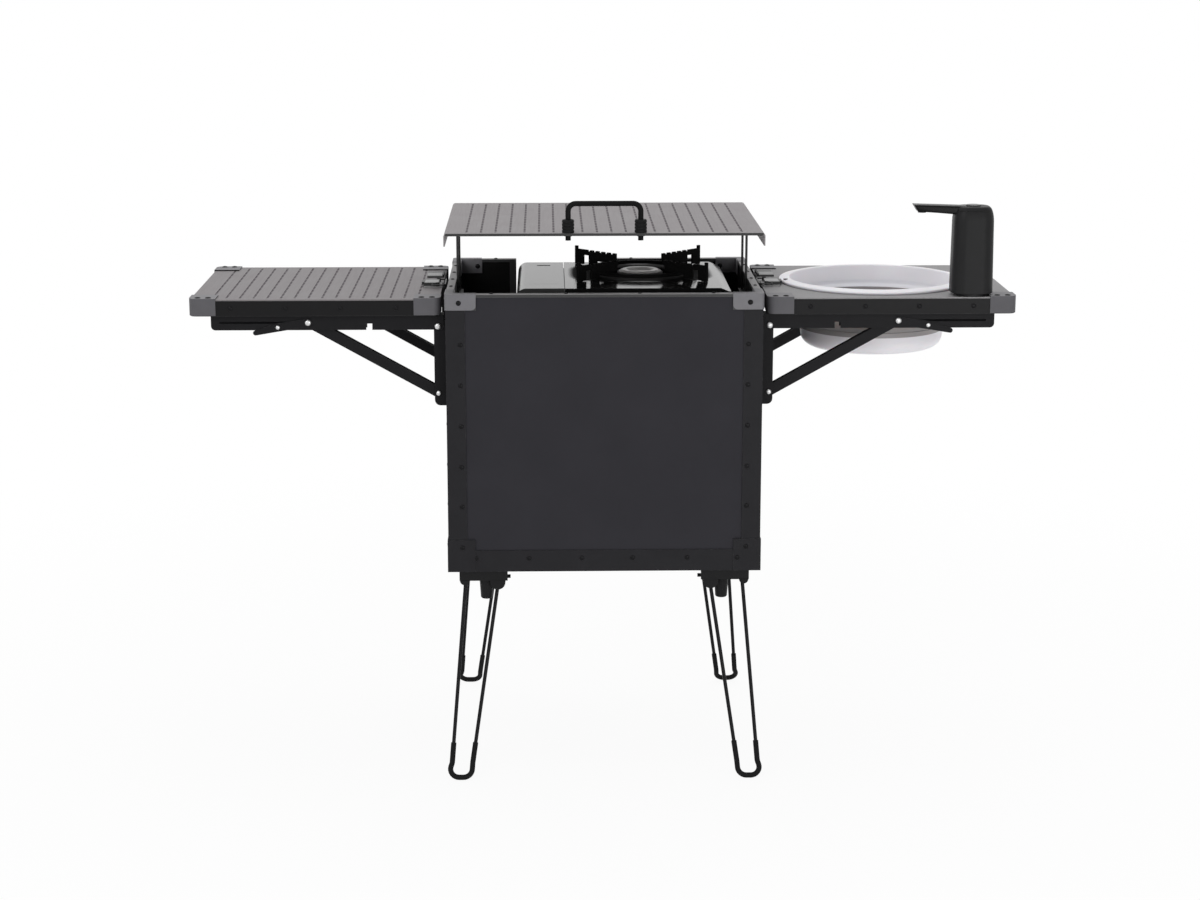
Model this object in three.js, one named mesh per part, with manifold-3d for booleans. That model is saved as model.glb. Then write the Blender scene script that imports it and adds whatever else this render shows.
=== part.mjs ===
// Camping chuck box: a riveted kitchen box on folding hairpin legs, with a lid on sliding wires,
// a cassette stove, and two side tables on folding brackets, one of them with a sink and a tap.
// Millimetres. X runs along the width, +Y points to the cook's side, +Z up. Zero is on the floor
// below the middle of the box.
import * as THREE from 'three';
import { mergeVertices } from 'three/addons/utils/BufferGeometryUtils.js';
import Module from 'manifold-3d';

const wasm = await Module();
wasm.setup();

// Fits and facets
const fitGap = 0.3;
const pinGap = 0.3;
const cutOverrun = 4;
const rodSides = 8;
const pinSides = 12;
const roundSides = 24;
const bowlSides = 36;
const bendSteps = 4;

// Box
const boxWidth = 494;
const boxDepth = 394;
const boxHeight = 446;
const legHeight = 334;
const panelThickness = 9;
const floorThickness = 6;
const trimSheet = 1.5;
const postWidth = 30;
const bandHeight = 34.8;
const bandFlange = 20;
const wrapSheet = 1.2;
const wrapWidth = 44;
const wrapHeight = 52.3;
const rimSheet = 1.2;
const rimLip = 5;
const cornerPlateWidth = 49;
const cornerPlateHeight = 25;
const cornerPlateSheet = 1.6;
const cornerPlateRise = 0.8;
const cornerPlateRadius = 5;

// Knob notch in the cook's side of the box
const notchLead = 4;
const notchWidth = 162;
const notchDepth = 90;
const notchTrimWidth = 11;

// Stove and the shelf below it
const stoveWidth = 341;
const stoveDepth = 290;
const stoveHeight = 88;
const stoveSideRoom = 35;
const stoveCentreY = 3;
const stoveCornerRadius = 8;
const stoveTopDepth = 10;
const stoveTopEdge = 3;
const stoveTopBevel = 17;
const shelfSheet = 1.5;
const shelfSkirt = 22;
const shelfMargin = 13.5;
const bayWall = 8;
const bayWidth = 68;
const bayFloor = 4;
const bayEndWall = 14;
const casingWall = 3;
const lidSeam = 1;
const stripWidth = 15;
const seamDepth = 0.6;
const cartridgeLidSheet = 1.6;
const cartridgeLidDrop = 20;
const cartridgeLidRound = 15;
const cartridgeLidHeel = 14;
const cartridgeHingeInset = 4;
const cartridgeHingeDrop = 17;
const cartridgeHingeClear = 5.5;
const cartridgePinRadius = 1.5;
const cartridgeEarRadius = 3.4;
const cartridgeEarWidth = 4;
const knuckleRadius = 3.6;
const knuckleWidth = 12;
const knuckleSpread = 180;
const fingerSlotWidth = 22;
const fingerSlotDepth = 8;
const fingerSlotInset = 38;
const fingerSlotOffset = 43;
const seamMarkLength = 45;
const seamMarkInset = 48;
const burnerInset = 139;
const burnerY = 27;
const wellRadius = 61;
const wellTaper = 11;
const wellDepth = 18;
const wellSheet = 1.6;
const wellHoleRadius = 27;
const wellPocketDepth = 35;
const burnerRadius = 37.5;
const burnerBaseRadius = 24;
const burnerRise = 6;
const burnerCapHeight = 13;
const burnerPortRadius = 30;
const burnerCrown = 4;
const knobRun = 41;
const knobDrop = 45;
const knobRadius = 21;
const knobLength = 16;
const knobTaper = 1.5;
const knobGripWidth = 9;
const knobGripLength = 12;
const knobShaftRadius = 4;
const knobShaftLength = 8;
const leverRun = 108;
const leverDrop = 32;
const leverTravel = 14;
const leverSlotWidth = 7;
const leverSlotDepth = 12;
const leverTabWidth = 24;
const leverTabHeight = 10;
const leverTabLength = 14;

// Pan support
const grateReach = 148;
const grateInner = 54;
const grateRise = 26;
const grateBlade = 4;
const grateBarDepth = 9;
const grateFootWidth = 12;
const grateProngHeight = 5;
const grateProngWidth = 5;
const grateToothCount = 5;
const grateToothPitch = 13;
const grateToothWidth = 6;
const grateToothDepth = 2.4;
const grateRingRadius = 84;
const grateRingWidth = 6;
const grateRingHeight = 6;
const grateRingLift = 3;

// Lid, its wires and its handle
const lidOverhangX = 3;
const lidOverhangY = 2;
const lidRaise = 95;
const lidSheet = 2;
const lidFlange = 20;
const lidBend = 5;
const lidHem = 4;
const grooveCount = 20;
const grooveSideMargin = 35.3;
const grooveWidth = 3;
const grooveDepth = 0.6;
const grooveMargin = 14;
const wireRadius = 2;
const wireBend = 10;
const wireSpan = 80;
const wireInset = 4;
const wireBottomDrop = 80;
const clipWidth = 16;
const clipLength = 9;
const clipHeight = 7;
const guideHeight = 35;
const guideWidth = 100;
const guideThickness = 9.7;
const guideDrop = 30;
const handleWidth = 113;
const handleRise = 45.3;
const handleRodRadius = 4.2;
const handleBend = 12;
const handleInset = 10;
const handleTail = 12;
const handleCollarRadius = 6.5;
const handleCollarHeight = 3;
const bushRadius = 8.6;
const bushHeight = 20;

// Side tables
const tableGap = 10;
const tableLength = 394;
const tableDepth = 351;
const tableDrop = 11;
const frameHeight = 24;
const frameSheet = 2;
const frameFlange = 15;
const tableSheet = 2;
const capLength = 42;
const capSheet = 1.6;
const capRadius = 12;
const capLift = 1;
const tableGrooveCount = 16;
const tableGrooveMargin = 35.75;
const latchGrooves = 2;

// Folding brackets of the tables
const pivotReach = 15;
const pivotDrop = 56;
const pivotSpacing = 108;
const bracketInset = 25.5;
const rivetShankRadius = 3;
const rivetHeadRadius = 5;
const rivetHeadHeight = 1.6;
const lowerHeadRadius = 3.8;
const wallBracketHalfWidth = 10;
const wallBracketSheet = 2;
const wallBracketReach = 6.5;
const wallBracketTail = 20;
const wallBracketRadius = 9;
const armHalfWidth = 12.5;
const armSheet = 2;
const armLength = 356.5;
const armLowerLip = 5.5;
const armHeelRadius = 9;
const armToeRadius = 7;
const slotRise = 6.5;
const slotHeight = 3.8;
const armNotchWidth = 9.6;
const armNotchRise = 4.6;
const braceRadius = 8.3;
const braceHalfWidth = 7;
const braceSheet = 1.6;
const bracePinRun = 204.2;
const bracePinRadius = 1.6;
const releasePivotRun = 251.7;
const releasePivotRise = -1;
const releasePinRadius = 2.2;
const releaseSheet = 1.5;
const releaseTailRun = 35;
const releaseTailDrop = 8.5;
const releaseTailRadius = 4;
const releaseBodyRadius = 6.5;

// Latches on the tables
const latchInset = 3;
const latchLength = 28;
const latchWidth = 52;
const latchBase = 2.4;
const latchPlateY = 75;
const latchLeverY = -32;
const latchRidge = 3;
const latchEarLength = 6;
const latchEarWidth = 4;
const latchEarHeight = 6;
const latchPinRadius = 1.3;
const latchPivotInset = 9;
const latchPivotLift = 2.7;
const latchLeverSheet = 4.4;
const latchLeverGap = 0.5;
const latchHeel = 1.2;
const latchTabLength = 4.5;
const latchTabWidth = 22;
const bailRadius = 1.25;
const bailPivotRun = 9;
const bailReach = 21;
const bailBend = 3.5;
const bailSpan = 60;

// Sink
const sinkRun = 188;
const sinkSurround = 34.5;
const sinkFlangeLap = 12;
const sinkFlangeHeight = 5;
const sinkEdge = 1.6;
const sinkHoleGap = 2.5;
const sinkWall = 2.4;
const sinkRingDepth = 22;
const sinkRingTaper = 5.5;
const collarLap = 5;
const collarDepth = 50;
const collarTaper = 13.5;
const collarFold = 4;
const collarFoldCount = 3;
const collarWall = 1.6;
const panDepth = 38;
const panRound = 22;
const panRoundSteps = 4;
const panWall = 2.6;
const panLip = 6;

// Tap
const tapRun = 325;
const tapInset = 28.5;
const tapBaseRadius = 26.5;
const tapBaseHeight = 4;
const tapSpigotRadius = 8;
const tapSpigotLength = 22;
const tapNutRadius = 11;
const tapNutHeight = 6;
const tapJournalRadius = 10;
const tapJournalHeight = 6;
const tapWidth = 66;
const tapDepthY = 56;
const tapTopShare = 0.95;
const tapHeight = 141;
const tapCorner = 20;
const spoutReach = 95;
const spoutWidth = 26;
const spoutTipHeight = 10.6;
const spoutRootHeight = 24;
const spoutRise = 3;
const spoutTipBevel = 6;
const tapShoulderHeight = 12;
const tapShoulderShare = 0.17;
const tapShoulderSteps = 4;
const nozzleRadius = 7;
const nozzleDrop = 2.5;
const nozzleInset = 14;
const buttonRadius = 11;
const buttonHeight = 6;
const buttonProud = 2;
const buttonTravel = 1.5;

// Legs
const legPivotInset = 22;
const legPivotDrop = 16;
const legOuterInset = 25;
const legInnerInset = 78;
const legRodRadius = 3;
const kneeOuterInset = 1;
const kneeInnerInset = 34;
const kneeSplay = 40;
const legKneeZ = 24;
const footOuterSplay = 7;
const footInnerInset = 32.5;
const footSplay = 54;
const footZ = 4;
const footBend = 14;
const kneeBend = 12;
const hingeBend = 4;
const sleeveRadius = 4.3;
const sleeveHeight = 56;
const legPinLength = 8;
const earThickness = 5;
const earGap = 1.3;
const earRadius = 8;
const mountTop = 2.1;
const mountPlate = 4;
const mountOuterInset = 15;
const mountInnerInset = 92;
const mountDepth = 42;
const mountEdgeInset = 3;
const skirtDepth = 12;
const skirtSheet = 3;
const bossInset = 58;
const bossRadius = 9;
const bossTipRadius = 6.5;
const bossLength = 45;

// Heights and edges worked out from the driving dimensions
const rimTop = legHeight + boxHeight;
const halfWidth = boxWidth / 2;
const halfDepth = boxDepth / 2;
const innerX = halfWidth - panelThickness;
const innerY = halfDepth - panelThickness;
const rimSkin = rimSheet + fitGap;
const notchFloor = rimTop - notchDepth;
const shelfTop = rimTop - stoveHeight - fitGap;
const stoveBottom = rimTop - stoveHeight;
const stoveRight = innerX - stoveSideRoom;
const stoveLeft = stoveRight - stoveWidth;
const stoveCentreX = (stoveLeft + stoveRight) / 2;
const burnerX = stoveRight - burnerInset;
const knobX = stoveLeft + knobRun;
const leverX = stoveLeft + leverRun;
const notchLeft = stoveLeft - notchLead;
const notchRight = notchLeft + notchWidth;
const stoveBack = stoveCentreY - stoveDepth / 2;
const stoveFront = stoveCentreY + stoveDepth / 2;
const stoveBodyTop = rimTop - stoveTopDepth - fitGap;
const bayRight = stoveLeft + bayWall + bayWidth;
const cartridgeHingeX = stoveLeft + cartridgeHingeInset;
const cartridgeHingeZ = rimTop - cartridgeHingeDrop;
const leverZ = rimTop - leverDrop;
const lidWidth = boxWidth + 2 * lidOverhangX;
const lidDepth = boxDepth + 2 * lidOverhangY;
const groovePitch = (lidWidth - 2 * grooveSideMargin) / (grooveCount - 1);
const lidTop = rimTop + lidRaise;
const lidUnderside = lidTop - lidSheet;
const wireX = innerX - wireInset;
const wireTop = lidUnderside - fitGap - wireRadius;
const handleY = handleInset - lidDepth / 2;
const tableInner = halfWidth + tableGap;
const tableOuter = tableInner + tableLength;
const tableGroovePitch = (tableLength - 2 * tableGrooveMargin) / (tableGrooveCount - 1);
const tableTop = rimTop - tableDrop;
const tableUnderside = tableTop - tableSheet;
const frameTop = tableUnderside - fitGap;
const frameBottom = frameTop - frameHeight;
const bracketY = tableDepth / 2 - bracketInset;
const pivotX = halfWidth + pivotReach;
const pivotZ = rimTop - pivotDrop;
const lowerPivotZ = pivotZ - pivotSpacing;
const armTop = frameBottom - fitGap;
const braceLength = Math.hypot(bracePinRun, pivotSpacing + slotRise);
const slotEndRun = pivotSpacing + Math.sqrt(braceLength ** 2 - slotRise ** 2);
const armFace = armHalfWidth + fitGap;
const latchTop = tableTop + latchBase;
const latchPivotX = tableInner + latchPivotInset;
const latchPivotZ = latchTop + latchPivotLift;
const sinkX = tableInner + sinkRun;
const sinkHoleRadius = tableDepth / 2 - sinkSurround;
const sinkRimRadius = sinkHoleRadius + sinkFlangeLap;
const sinkWallRadius = sinkHoleRadius - sinkHoleGap;
const sinkBottom = tableTop - sinkRingDepth;
const collarTop = sinkBottom + collarLap;
const collarBottom = collarTop - collarDepth;
const tapX = tableInner + tapRun;
const tapY = tapInset - tableDepth / 2;
const tapBottom = tableTop + fitGap + tapBaseHeight + fitGap;
const tapTop = tableTop + tapHeight;
const legPivotY = halfDepth - legPivotInset;
const legPivotZ = legHeight - legPivotDrop;
const legOuterX = halfWidth - legOuterInset;
const legInnerX = halfWidth - legInnerInset;
const legKneeOuterX = halfWidth - kneeOuterInset;
const legKneeInnerX = halfWidth - kneeInnerInset;
const legKneeY = halfDepth + kneeSplay;
const footOuterX = halfWidth + footOuterSplay;
const footInnerX = halfWidth - footInnerInset;
const footY = halfDepth + footSplay;
const mountOuterX = halfWidth - mountOuterInset;
const mountInnerX = halfWidth - mountInnerInset;
const mountOuterY = halfDepth - mountEdgeInset;
const mountInnerY = mountOuterY - mountDepth;
const bossX = halfWidth - bossInset;
const mountZ = legHeight - mountTop;

// Materials, by what each piece is made of
const charcoalPanel = new THREE.MeshStandardMaterial({ color: 0x2b2c30, roughness: 0.55, metalness: 0.2 });
const greyTrim = new THREE.MeshStandardMaterial({ color: 0x6f7073, roughness: 0.5, metalness: 0.4 });
const blackSteel = new THREE.MeshStandardMaterial({ color: 0x151516, roughness: 0.45, metalness: 0.5 });
const paleSheet = new THREE.MeshStandardMaterial({ color: 0x9a9694, roughness: 0.45, metalness: 0.5 });
const glossBlack = new THREE.MeshStandardMaterial({ color: 0x0b0b0c, roughness: 0.08, metalness: 0.1 });
const castBlack = new THREE.MeshStandardMaterial({ color: 0x0d0d0d, roughness: 0.7, metalness: 0.3 });
const blackPlastic = new THREE.MeshStandardMaterial({ color: 0x1b1b1d, roughness: 0.4, metalness: 0 });
const whitePlastic = new THREE.MeshStandardMaterial({ color: 0xe4e2e6, roughness: 0.35, metalness: 0 });
const greySilicone = new THREE.MeshStandardMaterial({ color: 0x8d8988, roughness: 0.7, metalness: 0 });
const zincSteel = new THREE.MeshStandardMaterial({ color: 0xb0b0b0, roughness: 0.3, metalness: 0.9 });

// A closed mesh as a solid that can be joined and cut
function solid(geometry) {
  geometry.deleteAttribute('normal');
  geometry.deleteAttribute('uv');
  const merged = mergeVertices(geometry);
  const corners = merged.index.array;
  const triangles = [];
  for (let corner = 0; corner < corners.length; corner += 3) {
    const [a, b, c] = corners.slice(corner, corner + 3);
    if (a !== b && b !== c && c !== a) {
      triangles.push(a, b, c);
    }
  }
  return new wasm.Manifold(new wasm.Mesh({
    numProp: 3,
    vertProperties: merged.attributes.position.array,
    triVerts: new Uint32Array(triangles),
  }));
}

// A solid back as a mesh geometry
function surface(body) {
  const mesh = body.getMesh();
  const geometry = new THREE.BufferGeometry();
  geometry.setAttribute('position', new THREE.BufferAttribute(mesh.vertProperties, mesh.numProp));
  geometry.setIndex(new THREE.BufferAttribute(mesh.triVerts, 1));
  geometry.computeVertexNormals();
  return geometry;
}

function join(...bodies) {
  return bodies.reduce((whole, body) => whole.add(body));
}

function cut(body, ...tools) {
  return tools.reduce((whole, tool) => whole.subtract(tool), body);
}

// What the right side and the cook's side carry, mirrored to another side
function onSide(body, sideX, sideY = 1) {
  return body.scale([sideX, sideY, 1]);
}

// A block between two corners
function block(x0, x1, y0, y1, z0, z1) {
  const geometry = new THREE.BoxGeometry(Math.abs(x1 - x0), Math.abs(y1 - y0), Math.abs(z1 - z0));
  return solid(geometry.translate((x0 + x1) / 2, (y0 + y1) / 2, (z0 + z1) / 2));
}

// An outline in X and Y raised from z0 to z1
function raise(outline, z0, z1) {
  const settings = { depth: z1 - z0, bevelEnabled: false, curveSegments: bendSteps };
  return solid(new THREE.ExtrudeGeometry(outline, settings).translate(0, 0, z0));
}

// An outline in X and Z drawn along Y from y0 to y1
function drawAlongY(outline, y0, y1) {
  const settings = { depth: y1 - y0, bevelEnabled: false, curveSegments: bendSteps };
  return solid(new THREE.ExtrudeGeometry(outline, settings).rotateX(Math.PI / 2).translate(0, y1, 0));
}

// Round bars along each axis; the last radius is the one at the far end
function barX(x0, x1, y, z, radius) {
  const geometry = new THREE.CylinderGeometry(radius, radius, x1 - x0, pinSides);
  return solid(geometry.rotateZ(-Math.PI / 2).translate((x0 + x1) / 2, y, z));
}

function barY(y0, y1, x, z, radius, sides = pinSides, endRadius = radius) {
  const geometry = new THREE.CylinderGeometry(endRadius, radius, y1 - y0, sides);
  return solid(geometry.translate(x, (y0 + y1) / 2, z));
}

function barZ(z0, z1, x, y, radius, sides = pinSides, endRadius = radius) {
  const geometry = new THREE.CylinderGeometry(endRadius, radius, z1 - z0, sides);
  return solid(geometry.rotateX(Math.PI / 2).translate(x, y, (z0 + z1) / 2));
}

// A profile of radius and height, listed upwards along its outside, turned about a vertical axis
function turn(profile, x, y, sides = bowlSides) {
  const points = profile.map(([radius, height]) => new THREE.Vector2(radius, height));
  return solid(new THREE.LatheGeometry(points, sides).rotateX(Math.PI / 2).translate(x, y, 0));
}

function polygon(points) {
  return new THREE.Shape(points.map(([x, y]) => new THREE.Vector2(x, y)));
}

// A rectangle with round corners
function roundedRectangle(x0, x1, y0, y1, radius) {
  const outline = new THREE.Shape();
  outline.absarc(x1 - radius, y0 + radius, radius, -Math.PI / 2, 0);
  outline.absarc(x1 - radius, y1 - radius, radius, 0, Math.PI / 2);
  outline.absarc(x0 + radius, y1 - radius, radius, Math.PI / 2, Math.PI);
  outline.absarc(x0 + radius, y0 + radius, radius, Math.PI, 1.5 * Math.PI);
  return outline;
}

// The outline round two circles, one at each end
function capsule(x0, y0, x1, y1, radius, endRadius = radius) {
  const direction = Math.atan2(y1 - y0, x1 - x0);
  const lean = Math.acos((radius - endRadius) / Math.hypot(x1 - x0, y1 - y0));
  const outline = new THREE.Shape();
  outline.absarc(x1, y1, endRadius, direction - lean, direction + lean);
  outline.absarc(x0, y0, radius, direction + lean, direction - lean + 2 * Math.PI);
  return outline;
}

// A path through corners, each with its own bend radius, that spends its steps on the bends
class BentPath extends THREE.Curve {
  constructor(corners) {
    super();
    this.stops = [];
    corners.forEach(([x, y, z, radius = 0], index) => {
      const corner = new THREE.Vector3(x, y, z);
      if (index === 0 || index === corners.length - 1) {
        this.stops.push(corner);
        return;
      }
      const back = new THREE.Vector3(...corners[index - 1].slice(0, 3)).sub(corner).normalize();
      const ahead = new THREE.Vector3(...corners[index + 1].slice(0, 3)).sub(corner).normalize();
      const reach = radius / Math.tan(back.angleTo(ahead) / 2);
      const start = corner.clone().addScaledVector(back, reach);
      const end = corner.clone().addScaledVector(ahead, reach);
      this.stops.push(...new THREE.QuadraticBezierCurve3(start, corner, end).getPoints(bendSteps));
    });
  }

  getPoint(share, target = new THREE.Vector3()) {
    const place = share * (this.stops.length - 1);
    const index = Math.min(Math.floor(place), this.stops.length - 2);
    return target.lerpVectors(this.stops[index], this.stops[index + 1], place - index);
  }

  getUtoTmapping(share) {
    return share;
  }
}

// Round wire bent along a path
function wire(corners, radius, sides = rodSides) {
  const path = new BentPath(corners);
  const section = new THREE.Shape();
  for (let side = 0; side < sides; side += 1) {
    const angle = (2 * Math.PI * (side + 0.5)) / sides;
    const point = [radius * Math.cos(angle), radius * Math.sin(angle)];
    if (side === 0) {
      section.moveTo(...point);
    } else {
      section.lineTo(...point);
    }
  }
  const settings = { steps: path.stops.length - 1, bevelEnabled: false, extrudePath: path };
  return solid(new THREE.ExtrudeGeometry(section, settings));
}

const chuckBox = new THREE.Group();

function place(name, body, material) {
  const mesh = new THREE.Mesh(surface(body), material);
  mesh.name = name;
  chuckBox.add(mesh);
}

const leftAndRight = [['left', -1], ['right', 1]];
const backAndFront = [['back', -1], ['front', 1]];

// Panels of the box, foam-core board with the cook's side cut down behind the stove's knob
function addPanels() {
  const panelTop = rimTop - rimSkin;
  const backPanel = block(-halfWidth, halfWidth, -halfDepth, -innerY, legHeight, panelTop);
  place('back_panel', backPanel, charcoalPanel);
  const frontOutline = polygon([
    [-halfWidth, legHeight],
    [halfWidth, legHeight],
    [halfWidth, panelTop],
    [notchRight + rimSkin, panelTop],
    [notchRight + rimSkin, notchFloor - rimSkin],
    [notchLeft - rimSkin, notchFloor - rimSkin],
    [notchLeft - rimSkin, panelTop],
    [-halfWidth, panelTop],
  ]);
  place('front_panel', drawAlongY(frontOutline, innerY, halfDepth), charcoalPanel);
  const sidePanel = block(innerX, halfWidth, fitGap - innerY, innerY - fitGap, legHeight, panelTop);
  leftAndRight.forEach(([side, sideX]) => {
    place(`${side}_panel`, onSide(sidePanel, sideX), charcoalPanel);
  });
  const floorX = innerX - fitGap;
  const floorY = innerY - fitGap;
  const floorTop = legHeight + floorThickness;
  place('floor_panel', block(-floorX, floorX, -floorY, floorY, legHeight, floorTop), charcoalPanel);
}

// Corner posts, bottom band and bottom corner wraps round the panels
function addEdgeFrame() {
  const inX = halfWidth + fitGap;
  const inY = halfDepth + fitGap;
  const outX = inX + trimSheet;
  const outY = inY + trimSheet;
  const bottom = legHeight - fitGap - trimSheet;
  const postTop = rimTop - cornerPlateHeight - fitGap;
  const wrapX = outX + wrapSheet;
  const wrapY = outY + wrapSheet;
  const post = block(outX - postWidth, outX, outY - postWidth, outY, bottom, postTop);
  const wrap = block(wrapX - wrapWidth, wrapX, wrapY - wrapWidth, wrapY, bottom, bottom + wrapHeight);
  const corner = join(post, wrap);
  let frame = block(-outX, outX, -outY, outY, bottom, bottom + bandHeight);
  leftAndRight.forEach(([, sideX]) => {
    backAndFront.forEach(([, sideY]) => {
      frame = frame.add(onSide(corner, sideX, sideY));
    });
  });
  const core = block(-inX, inX, -inY, inY, legHeight - fitGap, rimTop);
  const openX = inX - bandFlange;
  const openY = inY - bandFlange;
  const underside = block(-openX, openX, -openY, openY, bottom - cutOverrun, legHeight);
  place('edge_frame', cut(frame, core, underside), blackSteel);
}

// U-shaped rim that caps the panels, runs round the knob notch and carries a plate at each corner
function addTopRim() {
  const outX = halfWidth + rimSkin;
  const outY = halfDepth + rimSkin;
  const openX = innerX - rimSkin;
  const openY = innerY - rimSkin;
  const above = rimTop + cutOverrun;
  let rim = block(-outX, outX, -outY, outY, rimTop - rimLip, rimTop);
  rim = rim.add(block(
    notchLeft - notchTrimWidth,
    notchRight + notchTrimWidth,
    openY,
    outY,
    notchFloor - notchTrimWidth,
    rimTop,
  ));
  const plateX = outX + cornerPlateSheet;
  const plateY = outY + cornerPlateSheet;
  const plateBottom = rimTop - cornerPlateHeight;
  const plateTop = rimTop + cornerPlateRise;
  const rounded = roundedRectangle(-plateX, plateX, -plateY, plateY, cornerPlateRadius);
  const plate = cut(
    raise(rounded, plateBottom, plateTop),
    block(-plateX, plateX - cornerPlateWidth, -plateY, plateY, plateBottom, plateTop),
    block(-plateX, plateX, -plateY, plateY - cornerPlateWidth, plateBottom, plateTop),
    block(0, outX, 0, outY, plateBottom, rimTop - rimLip),
  );
  leftAndRight.forEach(([, sideX]) => {
    backAndFront.forEach(([, sideY]) => {
      rim = rim.add(onSide(plate, sideX, sideY));
    });
  });
  const boardX = halfWidth + fitGap;
  const boardY = halfDepth + fitGap;
  const boardInX = innerX - fitGap;
  const boardInY = innerY - fitGap;
  const boardTop = rimTop - rimSheet;
  const inside = block(-boardInX, boardInX, -boardInY, boardInY, legHeight, above);
  const notchLining = block(
    notchLeft - rimSheet,
    notchRight + rimSheet,
    0,
    outY + cutOverrun,
    notchFloor - rimSheet,
    above,
  );
  const board = cut(block(-boardX, boardX, -boardY, boardY, legHeight, boardTop), inside, notchLining);
  const mouth = block(-openX, openX, -openY, openY, legHeight, above);
  const notch = block(notchLeft, notchRight, 0, outY + cutOverrun, notchFloor, above);
  place('top_rim', cut(rim, board, mouth, notch), greyTrim);
}

// Folded tray between the walls that carries the stove
function addShelf() {
  const left = stoveLeft - shelfMargin;
  const right = stoveRight + shelfMargin;
  const outY = innerY - fitGap;
  const bottom = shelfTop - shelfSkirt;
  const hollow = block(
    left + shelfSheet,
    right - shelfSheet,
    shelfSheet - outY,
    outY - shelfSheet,
    bottom - cutOverrun,
    shelfTop - shelfSheet,
  );
  const trimRoom = block(
    notchLeft - notchTrimWidth - fitGap,
    notchRight + notchTrimWidth + fitGap,
    innerY - rimSkin - fitGap,
    innerY,
    notchFloor - notchTrimWidth - fitGap,
    rimTop,
  );
  const tray = block(left, right, -outY, outY, bottom, shelfTop);
  place('stove_shelf', cut(tray, hollow, trimRoom), greyTrim);
}

// Guide on each side wall with two bores for the legs of a lid wire
function addWireGuides() {
  const guideTop = rimTop - guideDrop;
  const guideBottom = guideTop - guideHeight;
  const outX = innerX - fitGap;
  const half = guideWidth / 2;
  let guide = block(outX - guideThickness, outX, -half, half, guideBottom, guideTop);
  backAndFront.forEach(([, sideY]) => {
    const y = sideY * (wireSpan / 2);
    const bore = barZ(guideBottom - cutOverrun, guideTop + cutOverrun, wireX, y, wireRadius + pinGap);
    guide = guide.subtract(bore);
  });
  leftAndRight.forEach(([side, sideX]) => {
    place(`wire_guide_${side}`, onSide(guide, sideX), blackPlastic);
  });
}

// Stove casing with the cartridge bay, the burner well, the knob's bore and the lever's slot
function addStoveBody() {
  const plan = roundedRectangle(stoveLeft, stoveRight, stoveBack, stoveFront, stoveCornerRadius);
  const casing = raise(plan, stoveBottom, stoveBodyTop);
  const above = stoveBodyTop + cutOverrun;
  const bay = block(
    stoveLeft + bayWall,
    bayRight,
    stoveBack + bayEndWall,
    stoveFront - bayEndWall,
    stoveBottom + bayFloor,
    above,
  );
  const heelRoom = block(
    stoveLeft - cutOverrun,
    stoveLeft + cartridgeLidHeel + cartridgeLidSheet,
    stoveBack - cutOverrun,
    stoveFront + cutOverrun,
    cartridgeHingeZ - cartridgeHingeClear,
    above,
  );
  const pocketFloor = stoveBodyTop - wellPocketDepth;
  const insideX = [bayRight + casingWall, stoveRight - casingWall];
  const insideY = [stoveBack + casingWall, stoveFront - bayEndWall];
  const pocket = block(...insideX, ...insideY, pocketFloor, above);
  const frontRoom = block(
    leverX + leverTabWidth,
    stoveRight - casingWall,
    stoveFront - 2 * bayEndWall,
    stoveFront - casingWall,
    stoveBottom - cutOverrun,
    above,
  );
  const knobBore = barY(
    stoveFront - knobShaftLength - fitGap,
    stoveFront + cutOverrun,
    knobX,
    rimTop - knobDrop,
    knobShaftRadius + pinGap,
  );
  const leverSlot = block(
    leverX - leverSlotWidth / 2,
    leverX + leverSlotWidth / 2,
    stoveFront - leverSlotDepth,
    stoveFront + cutOverrun,
    leverZ - leverTravel - leverTabHeight / 2 - fitGap,
    leverZ + leverTabHeight / 2 + fitGap,
  );
  const deckBottom = pocketFloor - casingWall;
  const underside = block(...insideX, ...insideY, stoveBottom - cutOverrun, deckBottom);
  let body = cut(casing, bay, heelRoom, pocket, frontRoom, knobBore, leverSlot, underside);
  backAndFront.forEach(([, sideY]) => {
    const y = stoveCentreY + sideY * (knuckleSpread / 2);
    const root = cartridgeHingeZ - cartridgeHingeClear - knuckleRadius;
    const outline = capsule(cartridgeHingeX, root, cartridgeHingeX, cartridgeHingeZ, knuckleRadius);
    const knuckle = drawAlongY(outline, y - knuckleWidth / 2, y + knuckleWidth / 2);
    const bore = barY(
      y - knuckleWidth,
      y + knuckleWidth,
      cartridgeHingeX,
      cartridgeHingeZ,
      cartridgePinRadius + pinGap,
    );
    body = body.add(knuckle).subtract(bore);
  });
  place('stove_body', body, blackPlastic);
}

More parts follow.
